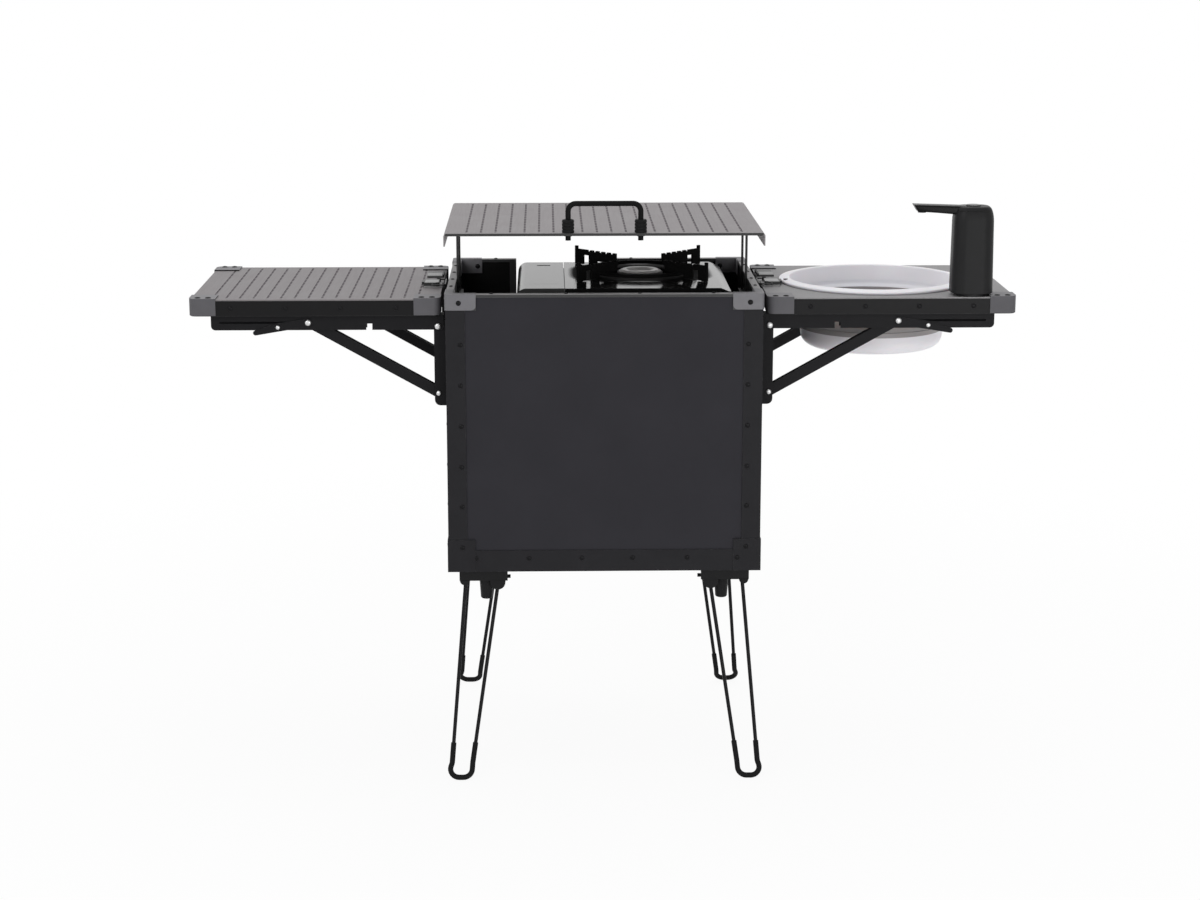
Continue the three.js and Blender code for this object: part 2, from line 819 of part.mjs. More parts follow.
// Gloss top plate with the dished well round the burner and a long bevel on its right
function addStoveTop() {
  const left = bayRight + lidSeam;
  const underside = rimTop - stoveTopDepth;
  const outline = polygon([
    [left, underside],
    [stoveRight, underside],
    [stoveRight, underside + stoveTopEdge],
    [stoveRight - stoveTopBevel, rimTop],
    [left, rimTop],
  ]);
  const plan = roundedRectangle(stoveLeft, stoveRight, stoveBack, stoveFront, stoveCornerRadius);
  const slab = drawAlongY(outline, stoveBack, stoveFront).intersect(raise(plan, underside, rimTop));
  const wellFloor = rimTop - wellDepth;
  const dishFoot = wellRadius - wellTaper;
  const dish = barZ(
    wellFloor - wellSheet,
    rimTop,
    burnerX,
    burnerY,
    dishFoot + wellSheet,
    bowlSides,
    wellRadius + wellSheet,
  );
  const mouthRadius = wellRadius + (wellTaper / wellDepth) * cutOverrun;
  const hollow = barZ(wellFloor, rimTop + cutOverrun, burnerX, burnerY, dishFoot, bowlSides, mouthRadius);
  const hole = barZ(wellFloor - cutOverrun, rimTop, burnerX, burnerY, wellHoleRadius, roundSides);
  const seam = block(
    left + stripWidth - lidSeam,
    left + stripWidth,
    stoveBack - cutOverrun,
    stoveFront + cutOverrun,
    rimTop - seamDepth,
    rimTop + cutOverrun,
  );
  place('stove_top', cut(join(slab, dish), hollow, hole, seam), glossBlack);
}

// Burner: a base that stands in the well and a cap with a shallow dish
function addBurner() {
  const floor = stoveBodyTop - wellPocketDepth + fitGap;
  const top = rimTop + burnerRise;
  const capBottom = top - burnerCapHeight;
  const profile = [
    [0, floor],
    [burnerBaseRadius, floor],
    [burnerBaseRadius, capBottom],
    [burnerRadius, capBottom + burnerCrown / 2],
    [burnerRadius, top - burnerCrown],
    [burnerPortRadius, top],
    [burnerBaseRadius, top],
    [burnerBaseRadius - burnerCrown, top - burnerCrown],
    [0, top - burnerCrown],
  ];
  place('burner_head', turn(profile, burnerX, burnerY, roundSides), castBlack);
}

// Hinged lid over the cartridge bay, round on its outer edge
function addCartridgeLid() {
  const left = stoveLeft;
  const right = bayRight;
  const bottom = rimTop - cartridgeLidDrop;
  const y0 = stoveBack + lidSeam;
  const y1 = stoveFront - lidSeam;
  const shell = (edge) => {
    const outline = new THREE.Shape();
    outline.moveTo(left + edge, bottom - edge);
    outline.lineTo(right - edge, bottom - edge);
    outline.lineTo(right - edge, rimTop - edge);
    outline.absarc(
      left + cartridgeLidRound,
      rimTop - cartridgeLidRound,
      cartridgeLidRound - edge,
      Math.PI / 2,
      Math.PI,
    );
    return drawAlongY(outline, y0 + edge, y1 - edge);
  };
  const step = block(
    left + cartridgeLidHeel,
    right + cutOverrun,
    stoveBack,
    stoveFront,
    bottom - cutOverrun,
    rimTop - stoveTopDepth,
  );
  const slotX = left + fingerSlotOffset;
  const slotY = stoveFront - fingerSlotInset;
  const fingerSlot = block(
    slotX - fingerSlotWidth / 2,
    slotX + fingerSlotWidth / 2,
    slotY - fingerSlotDepth / 2,
    slotY + fingerSlotDepth / 2,
    bottom,
    rimTop + cutOverrun,
  );
  const mark = block(
    slotX - seamMarkLength / 2,
    slotX + seamMarkLength / 2,
    stoveBack + seamMarkInset,
    stoveBack + seamMarkInset + lidSeam,
    rimTop - seamDepth,
    rimTop + cutOverrun,
  );
  let lid = cut(shell(0), shell(cartridgeLidSheet), step, fingerSlot, mark);
  const room = knuckleWidth / 2 + pinGap;
  const earReach = room + cartridgeEarWidth;
  backAndFront.forEach(([, sideY]) => {
    const y = stoveCentreY + sideY * (knuckleSpread / 2);
    const gap = block(
      left - cutOverrun,
      cartridgeHingeX + knuckleRadius + pinGap,
      y - room,
      y + room,
      bottom - cutOverrun,
      cartridgeHingeZ + knuckleRadius + pinGap,
    );
    const ears = cut(
      barY(y - earReach, y + earReach, cartridgeHingeX, cartridgeHingeZ, cartridgeEarRadius),
      block(left, right, y - room, y + room, bottom - cutOverrun, rimTop),
    );
    const pin = barY(y - earReach, y + earReach, cartridgeHingeX, cartridgeHingeZ, cartridgePinRadius);
    lid = join(lid.subtract(gap), ears, pin);
  });
  place('cartridge_lid', lid, blackPlastic);
}

// Gas knob on the cook's side of the stove
function addKnob() {
  const z = rimTop - knobDrop;
  const face = stoveFront + fitGap;
  const end = face + knobLength;
  const grip = block(
    knobX - knobGripWidth / 2,
    knobX + knobGripWidth / 2,
    end - knobTaper,
    end + knobGripLength,
    z - knobRadius + knobTaper,
    z + knobRadius - knobTaper,
  );
  const knob = join(
    barY(stoveFront - knobShaftLength, end, knobX, z, knobShaftRadius),
    barY(face, end, knobX, z, knobRadius, roundSides, knobRadius - knobTaper),
    grip,
  );
  place('control_knob', knob, blackPlastic);
}

// Lever that locks the gas cartridge, sliding in its slot
function addCartridgeLever() {
  const half = leverTabHeight / 2;
  const end = stoveFront + leverTabLength;
  const stem = block(
    leverX - leverSlotWidth / 2 + fitGap,
    leverX + leverSlotWidth / 2 - fitGap,
    stoveFront - leverSlotDepth + fitGap,
    end,
    leverZ - half,
    leverZ + half,
  );
  const tab = block(
    leverX - leverTabWidth / 2,
    leverX + leverTabWidth / 2,
    stoveFront + fitGap,
    end,
    leverZ - half,
    leverZ + half,
  );
  place('cartridge_lever', join(stem, tab), blackPlastic);
}

// Pan support: four toothed blades with feet and end prongs, tied by a ring
function addPanSupport() {
  const foot = rimTop + fitGap;
  const top = rimTop + grateRise;
  const barBottom = top - grateBarDepth;
  const ringBottom = rimTop + grateRingLift;
  const ringTop = ringBottom + grateRingHeight;
  const ringInner = grateRingRadius - grateRingWidth;
  const outline = [
    [grateInner, top],
    [grateInner, barBottom],
    [ringInner, barBottom],
    [ringInner, ringBottom],
    [grateRingRadius, ringBottom],
    [grateRingRadius, barBottom],
    [grateReach - grateFootWidth, barBottom],
    [grateReach - grateFootWidth, foot],
    [grateReach, foot],
    [grateReach, top + grateProngHeight],
    [grateReach - grateProngWidth, top + grateProngHeight],
    [grateReach - grateProngWidth, top],
  ];
  for (let tooth = grateToothCount; tooth > 0; tooth -= 1) {
    const end = grateInner + tooth * grateToothPitch;
    outline.push(
      [end, top],
      [end, top - grateToothDepth],
      [end - grateToothWidth, top - grateToothDepth],
      [end - grateToothWidth, top],
    );
  }
  const blade = drawAlongY(polygon(outline), -grateBlade / 2, grateBlade / 2);
  let grate = turn([
    [ringInner, ringBottom],
    [grateRingRadius, ringBottom],
    [grateRingRadius, ringTop],
    [ringInner, ringTop],
    [ringInner, ringBottom],
  ], 0, 0);
  for (let quarter = 0; quarter < 4; quarter += 1) {
    grate = grate.add(blade.rotate([0, 0, 45 + 90 * quarter]));
  }
  place('pan_support', grate.translate([burnerX, burnerY, 0]), castBlack);
}

// Lid: folded sheet with grooves, clips for the wires and two bushes for the handle
function addLid() {
  const outX = lidWidth / 2;
  const outY = lidDepth / 2;
  const bottom = lidTop - lidFlange;
  const channel = (edge, y0, y1) => {
    const outline = new THREE.Shape();
    outline.moveTo(-outX + edge, bottom - edge);
    outline.lineTo(outX - edge, bottom - edge);
    outline.absarc(outX - lidBend, lidTop - lidBend, lidBend - edge, 0, Math.PI / 2);
    outline.absarc(-outX + lidBend, lidTop - lidBend, lidBend - edge, Math.PI / 2, Math.PI);
    return drawAlongY(outline, y0, y1);
  };
  const belowHem = block(
    lidSheet - outX,
    outX - lidSheet,
    -outY - cutOverrun,
    outY + cutOverrun,
    bottom - cutOverrun,
    lidTop - lidHem,
  );
  let lid = cut(channel(0, -outY, outY), channel(lidSheet, lidSheet - outY, outY - lidSheet), belowHem);
  for (let groove = 0; groove < grooveCount; groove += 1) {
    const x = (groove - (grooveCount - 1) / 2) * groovePitch;
    lid = lid.subtract(block(
      x - grooveWidth / 2,
      x + grooveWidth / 2,
      grooveMargin - outY,
      outY - grooveMargin,
      lidTop - grooveDepth,
      lidTop + cutOverrun,
    ));
  }
  const clip = cut(
    block(
      wireX - clipLength / 2,
      wireX + clipLength / 2,
      -clipWidth / 2,
      clipWidth / 2,
      lidUnderside - clipHeight,
      lidUnderside + lidSheet / 2,
    ),
    barY(-clipWidth, clipWidth, wireX, wireTop, wireRadius + pinGap),
  );
  const handleX = handleWidth / 2;
  const bush = barZ(lidUnderside, lidTop + bushHeight, handleX, handleY, bushRadius, roundSides);
  const bore = barZ(
    lidUnderside - cutOverrun,
    lidTop + bushHeight + cutOverrun,
    handleX,
    handleY,
    handleRodRadius + pinGap,
  );
  leftAndRight.forEach(([, sideX]) => {
    lid = join(lid, onSide(clip, sideX), onSide(bush, sideX)).subtract(onSide(bore, sideX));
  });
  place('lid_panel', lid, paleSheet);
}

// Hairpin wires that hang from the lid and slide in the guides
function addLidWires() {
  const y = wireSpan / 2;
  const bottom = rimTop - wireBottomDrop;
  const hairpin = wire([
    [wireX, -y, bottom],
    [wireX, -y, wireTop, wireBend],
    [wireX, y, wireTop, wireBend],
    [wireX, y, bottom],
  ], wireRadius);
  leftAndRight.forEach(([side, sideX]) => {
    place(`lid_wire_${side}`, onSide(hairpin, sideX), zincSteel);
  });
}

// Carrying handle that drops into the lid, kept by a collar below the sheet on each leg
function addHandle() {
  const x = handleWidth / 2;
  const top = lidTop + handleRise;
  const bottom = lidTop - handleTail;
  let handle = wire([
    [-x, handleY, bottom],
    [-x, handleY, top, handleBend],
    [x, handleY, top, handleBend],
    [x, handleY, bottom],
  ], handleRodRadius, pinSides);
  const collarTopZ = lidUnderside - fitGap;
  const collar = barZ(collarTopZ - handleCollarHeight, collarTopZ, x, handleY, handleCollarRadius);
  leftAndRight.forEach(([, sideX]) => {
    handle = handle.add(onSide(collar, sideX));
  });
  place('lid_handle', handle, blackSteel);
}

// Side table: a C-channel frame with corner caps
function tableFrame() {
  const x0 = tableInner + capSheet;
  const x1 = tableOuter - capSheet;
  const y = tableDepth / 2 - capSheet;
  const radius = capRadius - capSheet;
  const outline = (edge, bend) => roundedRectangle(x0 + edge, x1 - edge, edge - y, y - edge, bend);
  const ring = cut(
    raise(outline(0, radius), frameBottom, frameTop),
    raise(outline(frameSheet, radius - frameSheet), frameBottom + frameSheet, frameTop - frameSheet),
    raise(outline(frameFlange, frameSheet), frameBottom - cutOverrun, frameTop + cutOverrun),
  );
  const capBottom = frameBottom + capLift;
  const capTop = tableTop + fitGap + capSheet;
  const outer = roundedRectangle(tableInner, tableOuter, -tableDepth / 2, tableDepth / 2, capRadius);
  const caps = cut(
    raise(outer, capBottom, capTop),
    raise(outline(0, radius), capBottom - cutOverrun, tableTop + fitGap),
    block(tableInner, tableOuter, capLength - tableDepth / 2, tableDepth / 2 - capLength, capBottom, capTop),
    block(tableInner + capLength, tableOuter - capLength, -tableDepth, tableDepth, capBottom, capTop),
  );
  return join(ring, caps);
}

// Latch plate, latch base and its ears, fixed on a table top
function latchParts() {
  const x0 = tableInner + latchInset;
  const x1 = x0 + latchLength;
  const half = latchWidth / 2;
  const root = tableTop - tableSheet / 2;
  const plate = join(
    block(x0, x1, latchPlateY - half, latchPlateY + half, root, latchTop),
    block(x0, x0 + latchRidge, latchPlateY - half, latchPlateY + half, root, latchTop + latchRidge),
  );
  let base = block(x0, x1, latchLeverY - half, latchLeverY + half, root, latchTop);
  backAndFront.forEach(([, sideY]) => {
    const outer = latchLeverY + sideY * half;
    base = base.add(block(
      latchPivotX - latchEarLength / 2,
      latchPivotX + latchEarLength / 2,
      outer - sideY * latchEarWidth,
      outer,
      root,
      latchTop + latchEarHeight,
    ));
  });
  const bore = barY(
    latchLeverY - latchWidth,
    latchLeverY + latchWidth,
    latchPivotX,
    latchPivotZ,
    latchPinRadius + pinGap,
  );
  return join(plate, base.subtract(bore));
}

// Table tops: the left one grooved, the right one plain with the holes of the sink and of the tap
function addTables() {
  const inset = capSheet + fitGap;
  const x0 = tableInner + inset;
  const x1 = tableOuter - inset;
  const y = tableDepth / 2 - inset;
  const plan = roundedRectangle(x0, x1, -y, y, capRadius - capSheet);
  const sheet = join(raise(plan, tableUnderside, tableTop), latchParts());
  const middle = (tableInner + tableOuter) / 2;
  const ends = y - grooveMargin;
  let grooved = sheet;
  for (let groove = 0; groove < tableGrooveCount; groove += 1) {
    const x = middle + (groove - (tableGrooveCount - 1) / 2) * tableGroovePitch;
    const short = [[-ends, latchLeverY - latchWidth], [latchPlateY + latchWidth, ends]];
    const runs = groove < latchGrooves ? short : [[-ends, ends]];
    runs.forEach(([from, to]) => {
      grooved = grooved.subtract(block(
        x - grooveWidth / 2,
        x + grooveWidth / 2,
        from,
        to,
        tableTop - grooveDepth,
        tableTop + cutOverrun,
      ));
    });
  }
  place('left_table_top', onSide(grooved, -1), paleSheet);
  const below = tableUnderside - cutOverrun;
  const above = tableTop + cutOverrun;
  const sinkHole = barZ(below, above, sinkX, 0, sinkHoleRadius, bowlSides);
  const tapHole = barZ(below, above, tapX, tapY, tapSpigotRadius + pinGap);
  place('right_table_top', cut(sheet, sinkHole, tapHole), greyTrim);
  leftAndRight.forEach(([side, sideX]) => {
    place(`${side}_table_frame`, onSide(tableFrame(), sideX), blackSteel);
  });
}

// Wall bracket: two cheeks on a web, with the riveted pins of the arm and of the brace
function wallBracket() {
  const back = halfWidth + fitGap;
  const front = pivotX + wallBracketReach;
  const bottom = lowerPivotZ - wallBracketTail;
  const top = pivotZ + wallBracketRadius;
  const side = new THREE.Shape();
  const centre = front - wallBracketRadius;
  side.moveTo(back, bottom);
  side.absarc(centre, bottom + wallBracketRadius, wallBracketRadius, -Math.PI / 2, 0);
  side.absarc(centre, top - wallBracketRadius, wallBracketRadius, 0, Math.PI / 2);
  side.lineTo(back, top);
  const half = wallBracketHalfWidth;
  const inner = half - wallBracketSheet;
  const cheeks = cut(
    drawAlongY(side, -half, half),
    block(back + wallBracketSheet, front + cutOverrun, -inner, inner, bottom - cutOverrun, top + cutOverrun),
  );
  const headEnd = armFace + rivetHeadHeight;
  const lowerEnd = half + rivetHeadHeight;
  return join(
    cheeks,
    barY(-headEnd, headEnd, pivotX, pivotZ, rivetShankRadius),
    barY(armFace, headEnd, pivotX, pivotZ, rivetHeadRadius),
    barY(-headEnd, -armFace, pivotX, pivotZ, rivetHeadRadius),
    barY(-lowerEnd, lowerEnd, pivotX, lowerPivotZ, rivetShankRadius),
    barY(half, lowerEnd, pivotX, lowerPivotZ, lowerHeadRadius),
    barY(-lowerEnd, -half, pivotX, lowerPivotZ, lowerHeadRadius),
  );
}

// Arm below a table: an inverted channel with the brace's slot and a notch for the lower rivet
function tableArm() {
  const lower = pivotZ - armLowerLip;
  const end = pivotX + armLength;
  const heel = Math.asin(armLowerLip / armHeelRadius);
  const side = new THREE.Shape();
  side.absarc(pivotX, pivotZ, armHeelRadius, Math.PI, Math.PI + heel);
  side.absarc(end - armToeRadius, lower + armToeRadius, armToeRadius, -Math.PI / 2, 0);
  side.lineTo(end, armTop);
  side.lineTo(pivotX - armHeelRadius, armTop);
  const half = armHalfWidth;
  const inner = half - armSheet;
  const reach = half + cutOverrun;
  const slotZ = pivotZ + slotRise;
  const slot = capsule(pivotX + bracePinRun, slotZ, pivotX + slotEndRun, slotZ, slotHeight / 2);
  const notchX = pivotX + pivotSpacing;
  const releaseX = pivotX + releasePivotRun;
  const releaseZ = pivotZ + releasePivotRise;
  return cut(
    drawAlongY(side, -half, half),
    block(
      pivotX - armHeelRadius - cutOverrun,
      end + cutOverrun,
      -inner,
      inner,
      lower - cutOverrun,
      armTop - armSheet,
    ),
    drawAlongY(slot, -reach, reach),
    barY(-reach, reach, pivotX, pivotZ, rivetShankRadius + pinGap),
    barY(0, reach, releaseX, releaseZ, releasePinRadius + pinGap),
    block(
      notchX - armNotchWidth / 2,
      notchX + armNotchWidth / 2,
      -reach,
      reach,
      lower - cutOverrun,
      pivotZ + armNotchRise,
    ),
  );
}

// Brace from the wall bracket's lower pivot to the pin that runs in the arm's slot
function tableBrace() {
  const pinX = pivotX + bracePinRun;
  const pinZ = pivotZ + slotRise;
  const outline = capsule(pivotX, lowerPivotZ, pinX, pinZ, braceRadius);
  const inner = braceHalfWidth - braceSheet;
  const lean = Math.atan2(pinZ - lowerPivotZ, bracePinRun);
  const lift = [-braceSheet * Math.sin(lean), 0, braceSheet * Math.cos(lean)];
  const reach = armHalfWidth - armSheet - fitGap;
  return join(
    cut(
      drawAlongY(outline, -braceHalfWidth, braceHalfWidth),
      drawAlongY(outline, -inner, inner).translate(lift),
      barY(-reach, reach, pivotX, lowerPivotZ, rivetShankRadius + pinGap),
    ),
    barY(-reach, reach, pinX, pinZ, bracePinRadius),
  );
}

// Release lever on the outer cheek of an arm, on its own small pin
function releaseLever() {
  const x = pivotX + releasePivotRun;
  const z = pivotZ + releasePivotRise;
  const hook = capsule(pivotX + bracePinRun, pivotZ + slotRise, x, z, releaseBodyRadius);
  const tailX = x + releaseTailRun;
  const tail = capsule(x, z, tailX, z - releaseTailDrop, releaseBodyRadius, releaseTailRadius);
  const end = armFace + releaseSheet;
  return join(
    drawAlongY(hook, armFace, end),
    drawAlongY(tail, armFace, end),
    barY(armHalfWidth - armSheet, end, x, z, releasePinRadius),
  );
}

function addBrackets() {
  const pieces = [
    ['wall_bracket', wallBracket()],
    ['arm', tableArm()],
    ['brace', tableBrace()],
    ['release_lever', releaseLever()],
  ];
  pieces.forEach(([name, body]) => {
    const ahead = body.translate([0, bracketY, 0]);
    leftAndRight.forEach(([side, sideX]) => {
      backAndFront.forEach(([end, sideY]) => {
        place(`${name}_${side}_${end}`, onSide(ahead, sideX, sideY), blackSteel);
      });
    });
  });
}

// Latch lever with its tab and the wire bail that turns in it
function addLatches() {
  const halfLever = latchWidth / 2 - latchEarWidth - fitGap;
  const x0 = latchPivotX - latchHeel;
  const x1 = tableInner + latchInset + latchLength;
  const z0 = latchTop + latchLeverGap;
  const z1 = z0 + latchLeverSheet;
  const bailX = latchPivotX + bailPivotRun;
  const pinReach = latchWidth / 2;
  const lever = join(
    block(x0, x1, latchLeverY - halfLever, latchLeverY + halfLever, z0, z1),
    block(
      x1 - fitGap,
      x1 + latchTabLength,
      latchLeverY - latchTabWidth / 2,
      latchLeverY + latchTabWidth / 2,
      z0,
      z1,
    ),
    barY(latchLeverY - pinReach, latchLeverY + pinReach, latchPivotX, latchPivotZ, latchPinRadius),
  );
  const stub = halfLever - cutOverrun;
  const half = bailSpan / 2;
  const crossX = bailX - bailReach;
  const bail = wire([
    [bailX, latchLeverY - stub - fitGap, latchPivotZ],
    [bailX, latchLeverY - half, latchPivotZ, bailBend],
    [crossX, latchLeverY - half, latchPivotZ, bailBend],
    [crossX, latchLeverY + half, latchPivotZ, bailBend],
    [bailX, latchLeverY + half, latchPivotZ, bailBend],
    [bailX, latchLeverY + stub + fitGap, latchPivotZ],
  ], bailRadius);
  const sockets = [-1, 1].map((end) => {
    const from = latchLeverY + end * stub;
    const to = latchLeverY + end * latchWidth;
    return barY(Math.min(from, to), Math.max(from, to), bailX, latchPivotZ, bailRadius + pinGap);
  });
  const bored = cut(lever, ...sockets);
  leftAndRight.forEach(([side, sideX]) => {
    place(`${side}_latch_lever`, onSide(bored, sideX), greyTrim);
    place(`${side}_latch_bail`, onSide(bail, sideX), zincSteel);
  });
}

// Collapsible sink: rim ring, pleated collar and pan
function addSink() {
  const flangeBottom = tableTop + fitGap;
  const flangeTop = flangeBottom + sinkFlangeHeight;
  const footRadius = sinkWallRadius - sinkRingTaper;
  const rim = [
    [footRadius, sinkBottom],
    [sinkWallRadius, flangeBottom],
    [sinkRimRadius, flangeBottom],
    [sinkRimRadius, flangeTop - sinkEdge],
    [sinkRimRadius - sinkEdge, flangeTop],
    [sinkWallRadius, flangeTop],
    [sinkWallRadius - sinkWall, flangeTop - sinkEdge],
    [footRadius - sinkWall, sinkBottom],
    [footRadius, sinkBottom],
  ];
  place('bowl_rim', turn(rim, sinkX, 0), whitePlastic);

  const topRadius = footRadius - sinkWall - fitGap;
  const lowRadius = topRadius - collarTaper;
  const foldSteps = 2 * collarFoldCount;
  const foldEnd = collarBottom + panLip;
  const skin = [[topRadius, collarTop], [topRadius, sinkBottom]];
  for (let step = 1; step < foldSteps; step += 1) {
    const share = step / foldSteps;
    const swing = step % 2 === 1 ? -collarFold : collarFold / 2;
    skin.push([topRadius - share * collarTaper + swing, sinkBottom - share * (sinkBottom - foldEnd)]);
  }
  skin.push([lowRadius, foldEnd], [lowRadius, collarBottom]);
  const outside = skin.slice().reverse();
  const inside = skin.map(([radius, height]) => [radius - collarWall, height]);
  place('bowl_collar', turn([...outside, ...inside, outside[0]], sinkX, 0), greySilicone);

  const panTop = collarBottom - fitGap;
  const lipRadius = lowRadius - collarWall - fitGap;
  const panBottom = panTop - panDepth;
  const bend = (radius, z, bendRadius) => {
    const points = [];
    for (let step = 0; step <= panRoundSteps; step += 1) {
      const angle = (step / panRoundSteps) * (Math.PI / 2);
      points.push([
        radius - bendRadius + bendRadius * Math.sin(angle),
        z + bendRadius - bendRadius * Math.cos(angle),
      ]);
    }
    return points;
  };
  const pan = [
    [0, panBottom],
    ...bend(lowRadius, panBottom, panRound),
    [lowRadius, panTop],
    [lipRadius, panTop],
    [lipRadius, panTop + panLip],
    [lipRadius - panWall, panTop + panLip],
    [lipRadius - panWall, panTop - panWall],
    ...bend(lowRadius - panWall, panBottom + panWall, panRound - panWall).reverse(),
    [0, panBottom + panWall],
  ];
  place('bowl_pan', turn(pan, sinkX, 0), whitePlastic);
}

// Tap: a base ring screwed through the table, a body that swivels on it and a push button
function addTap() {
  const ringBottom = tableTop + fitGap;
  const ringTop = ringBottom + tapBaseHeight;
  const nutTop = tableUnderside - fitGap;
  const base = join(
    barZ(ringBottom, ringTop, tapX, tapY, tapBaseRadius, roundSides),
    barZ(ringTop - tapSpigotLength, ringTop, tapX, tapY, tapSpigotRadius),
    barZ(nutTop - tapNutHeight, nutTop, tapX, tapY, tapNutRadius),
    barZ(ringBottom, ringTop + tapJournalHeight, tapX, tapY, tapJournalRadius, roundSides),
  );
  place('tap_base', base, blackPlastic);

  const halfX = tapWidth / 2;
  const halfY = tapDepthY / 2;
  const height = tapTop - tapBottom;
  const plan = roundedRectangle(-halfX, halfX, -halfY, halfY, tapCorner);
  const rings = tapShoulderSteps + 1;
  const settings = { depth: height, steps: rings, bevelEnabled: false, curveSegments: bendSteps };
  const column = new THREE.ExtrudeGeometry(plan, settings);
  const corners = column.attributes.position;
  for (let corner = 0; corner < corners.count; corner += 1) {
    const ring = Math.round((corners.getZ(corner) / height) * rings);
    const turn = ((Math.PI / 2) * Math.max(ring - 1, 0)) / tapShoulderSteps;
    const level = ring === 0 ? 0 : height - tapShoulderHeight * (1 - Math.sin(turn));
    const taper = (1 - tapTopShare) * (level / height);
    const share = 1 - taper - tapShoulderShare * (1 - Math.cos(turn));
    corners.setXYZ(corner, corners.getX(corner) * share, corners.getY(corner) * share, level);
  }
  column.translate(tapX, tapY, tapBottom);
  const tipX = tapX - spoutReach;
  const tipTop = tapTop + spoutRise;
  const columnX = tapX - halfX * tapTopShare;
  const spout = polygon([
    [tipX, tipTop],
    [tipX + spoutTipBevel, tipTop - spoutTipHeight],
    [columnX, tapTop - spoutTipHeight - spoutRise / 2],
    [tapX, tapTop - spoutRootHeight],
    [tapX, tapTop],
  ]);
  const nozzleX = tipX + nozzleInset;
  const nozzleTop = tipTop - spoutTipHeight / 2;
  const body = cut(
    join(
      solid(column),
      drawAlongY(spout, tapY - spoutWidth / 2, tapY + spoutWidth / 2),
      barZ(nozzleTop - spoutTipHeight / 2 - nozzleDrop, nozzleTop, nozzleX, tapY, nozzleRadius),
    ),
    barZ(
      tapBottom - cutOverrun,
      ringTop + tapJournalHeight + fitGap,
      tapX,
      tapY,
      tapJournalRadius + pinGap,
      roundSides,
    ),
    barZ(
      tapTop + buttonProud - buttonHeight - buttonTravel - fitGap,
      tapTop + cutOverrun,
      tapX,
      tapY,
      buttonRadius + pinGap,
    ),
  );
  place('tap_body', body, blackPlastic);
  const buttonTop = tapTop + buttonProud;
  place('tap_button', barZ(buttonTop - buttonHeight, buttonTop, tapX, tapY, buttonRadius), greyTrim);
}

// Leg mount: a plate with two ears, a skirt on its outside and a short foot boss between the ears
function legMount() {
  const bottom = mountZ - mountPlate;
  const root = bottom + mountPlate / 2;
  const plate = block(mountInnerX, mountOuterX, mountInnerY, mountOuterY, bottom, mountZ);
  const ear = (x0, x1) => join(
    barX(x0, x1, legPivotY, legPivotZ, earRadius),
    block(x0, x1, legPivotY - earRadius, legPivotY + earRadius, legPivotZ, root),
  );
  const outerEar = legOuterX + legRodRadius + earGap;
  const innerEar = legInnerX - legRodRadius - earGap;
  const bore = barX(
    mountInnerX - cutOverrun,
    mountOuterX + cutOverrun,
    legPivotY,
    legPivotZ,
    legRodRadius + pinGap,
  );
  const ears = join(ear(outerEar, outerEar + earThickness), ear(innerEar - earThickness, innerEar));
  const skirt = block(
    mountInnerX,
    mountOuterX,
    mountOuterY - skirtSheet,
    mountOuterY,
    bottom - skirtDepth,
    root,
  );
  const boss = barZ(bottom - bossLength, root, bossX, legPivotY, bossTipRadius, pinSides, bossRadius);
  return join(plate, skirt, boss, ears.subtract(bore));
}

// Hairpin leg of steel rod with its pivot stubs and the sleeve over its foot
function hairpinLeg() {
  const outerTop = [legOuterX, legPivotY, legPivotZ];
  const innerTop = [legInnerX, legPivotY, legPivotZ];
  const outerKnee = [legKneeOuterX, legKneeY, legKneeZ];
  const innerKnee = [legKneeInnerX, legKneeY, legKneeZ];
  const foot = [
    [...outerKnee, kneeBend],
    [footOuterX, footY, footZ, footBend],
    [footInnerX, footY, footZ, footBend],
    [...innerKnee, kneeBend],
  ];
  const rod = wire([
    [legOuterX + legPinLength, legPivotY, legPivotZ],
    [...outerTop, hingeBend],
    ...foot,
    [...innerTop, hingeBend],
    [legInnerX - legPinLength, legPivotY, legPivotZ],
  ], legRodRadius);
  const along = (top, knee) => {
    const share = (sleeveHeight - legKneeZ) / (legPivotZ - legKneeZ);
    return top.map((value, index) => knee[index] + share * (value - knee[index]));
  };
  const sleeve = wire([along(outerTop, outerKnee), ...foot, along(innerTop, innerKnee)], sleeveRadius);
  const belowFloor = block(legInnerX, footOuterX + footBend, 0, footY + footBend, -footBend, 0);
  return cut(join(rod, sleeve), belowFloor);
}

function addLegs() {
  const mount = legMount();
  const leg = hairpinLeg();
  leftAndRight.forEach(([side, sideX]) => {
    backAndFront.forEach(([end, sideY]) => {
      place(`leg_mount_${side}_${end}`, onSide(mount, sideX, sideY), blackPlastic);
      place(`leg_${side}_${end}`, onSide(leg, sideX, sideY), blackSteel);
    });
  });
}

addPanels();
addEdgeFrame();
addTopRim();
addShelf();
addWireGuides();
addStoveBody();
addStoveTop();
addBurner();
addCartridgeLid();
addKnob();
addCartridgeLever();
addPanSupport();
addLid();
addLidWires();
addHandle();
addTables();
addBrackets();
addLatches();
addSink();
addTap();
addLegs();

export default chuckBox;
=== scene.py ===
import math

import bmesh
import bpy
from mathutils import Matrix, Vector


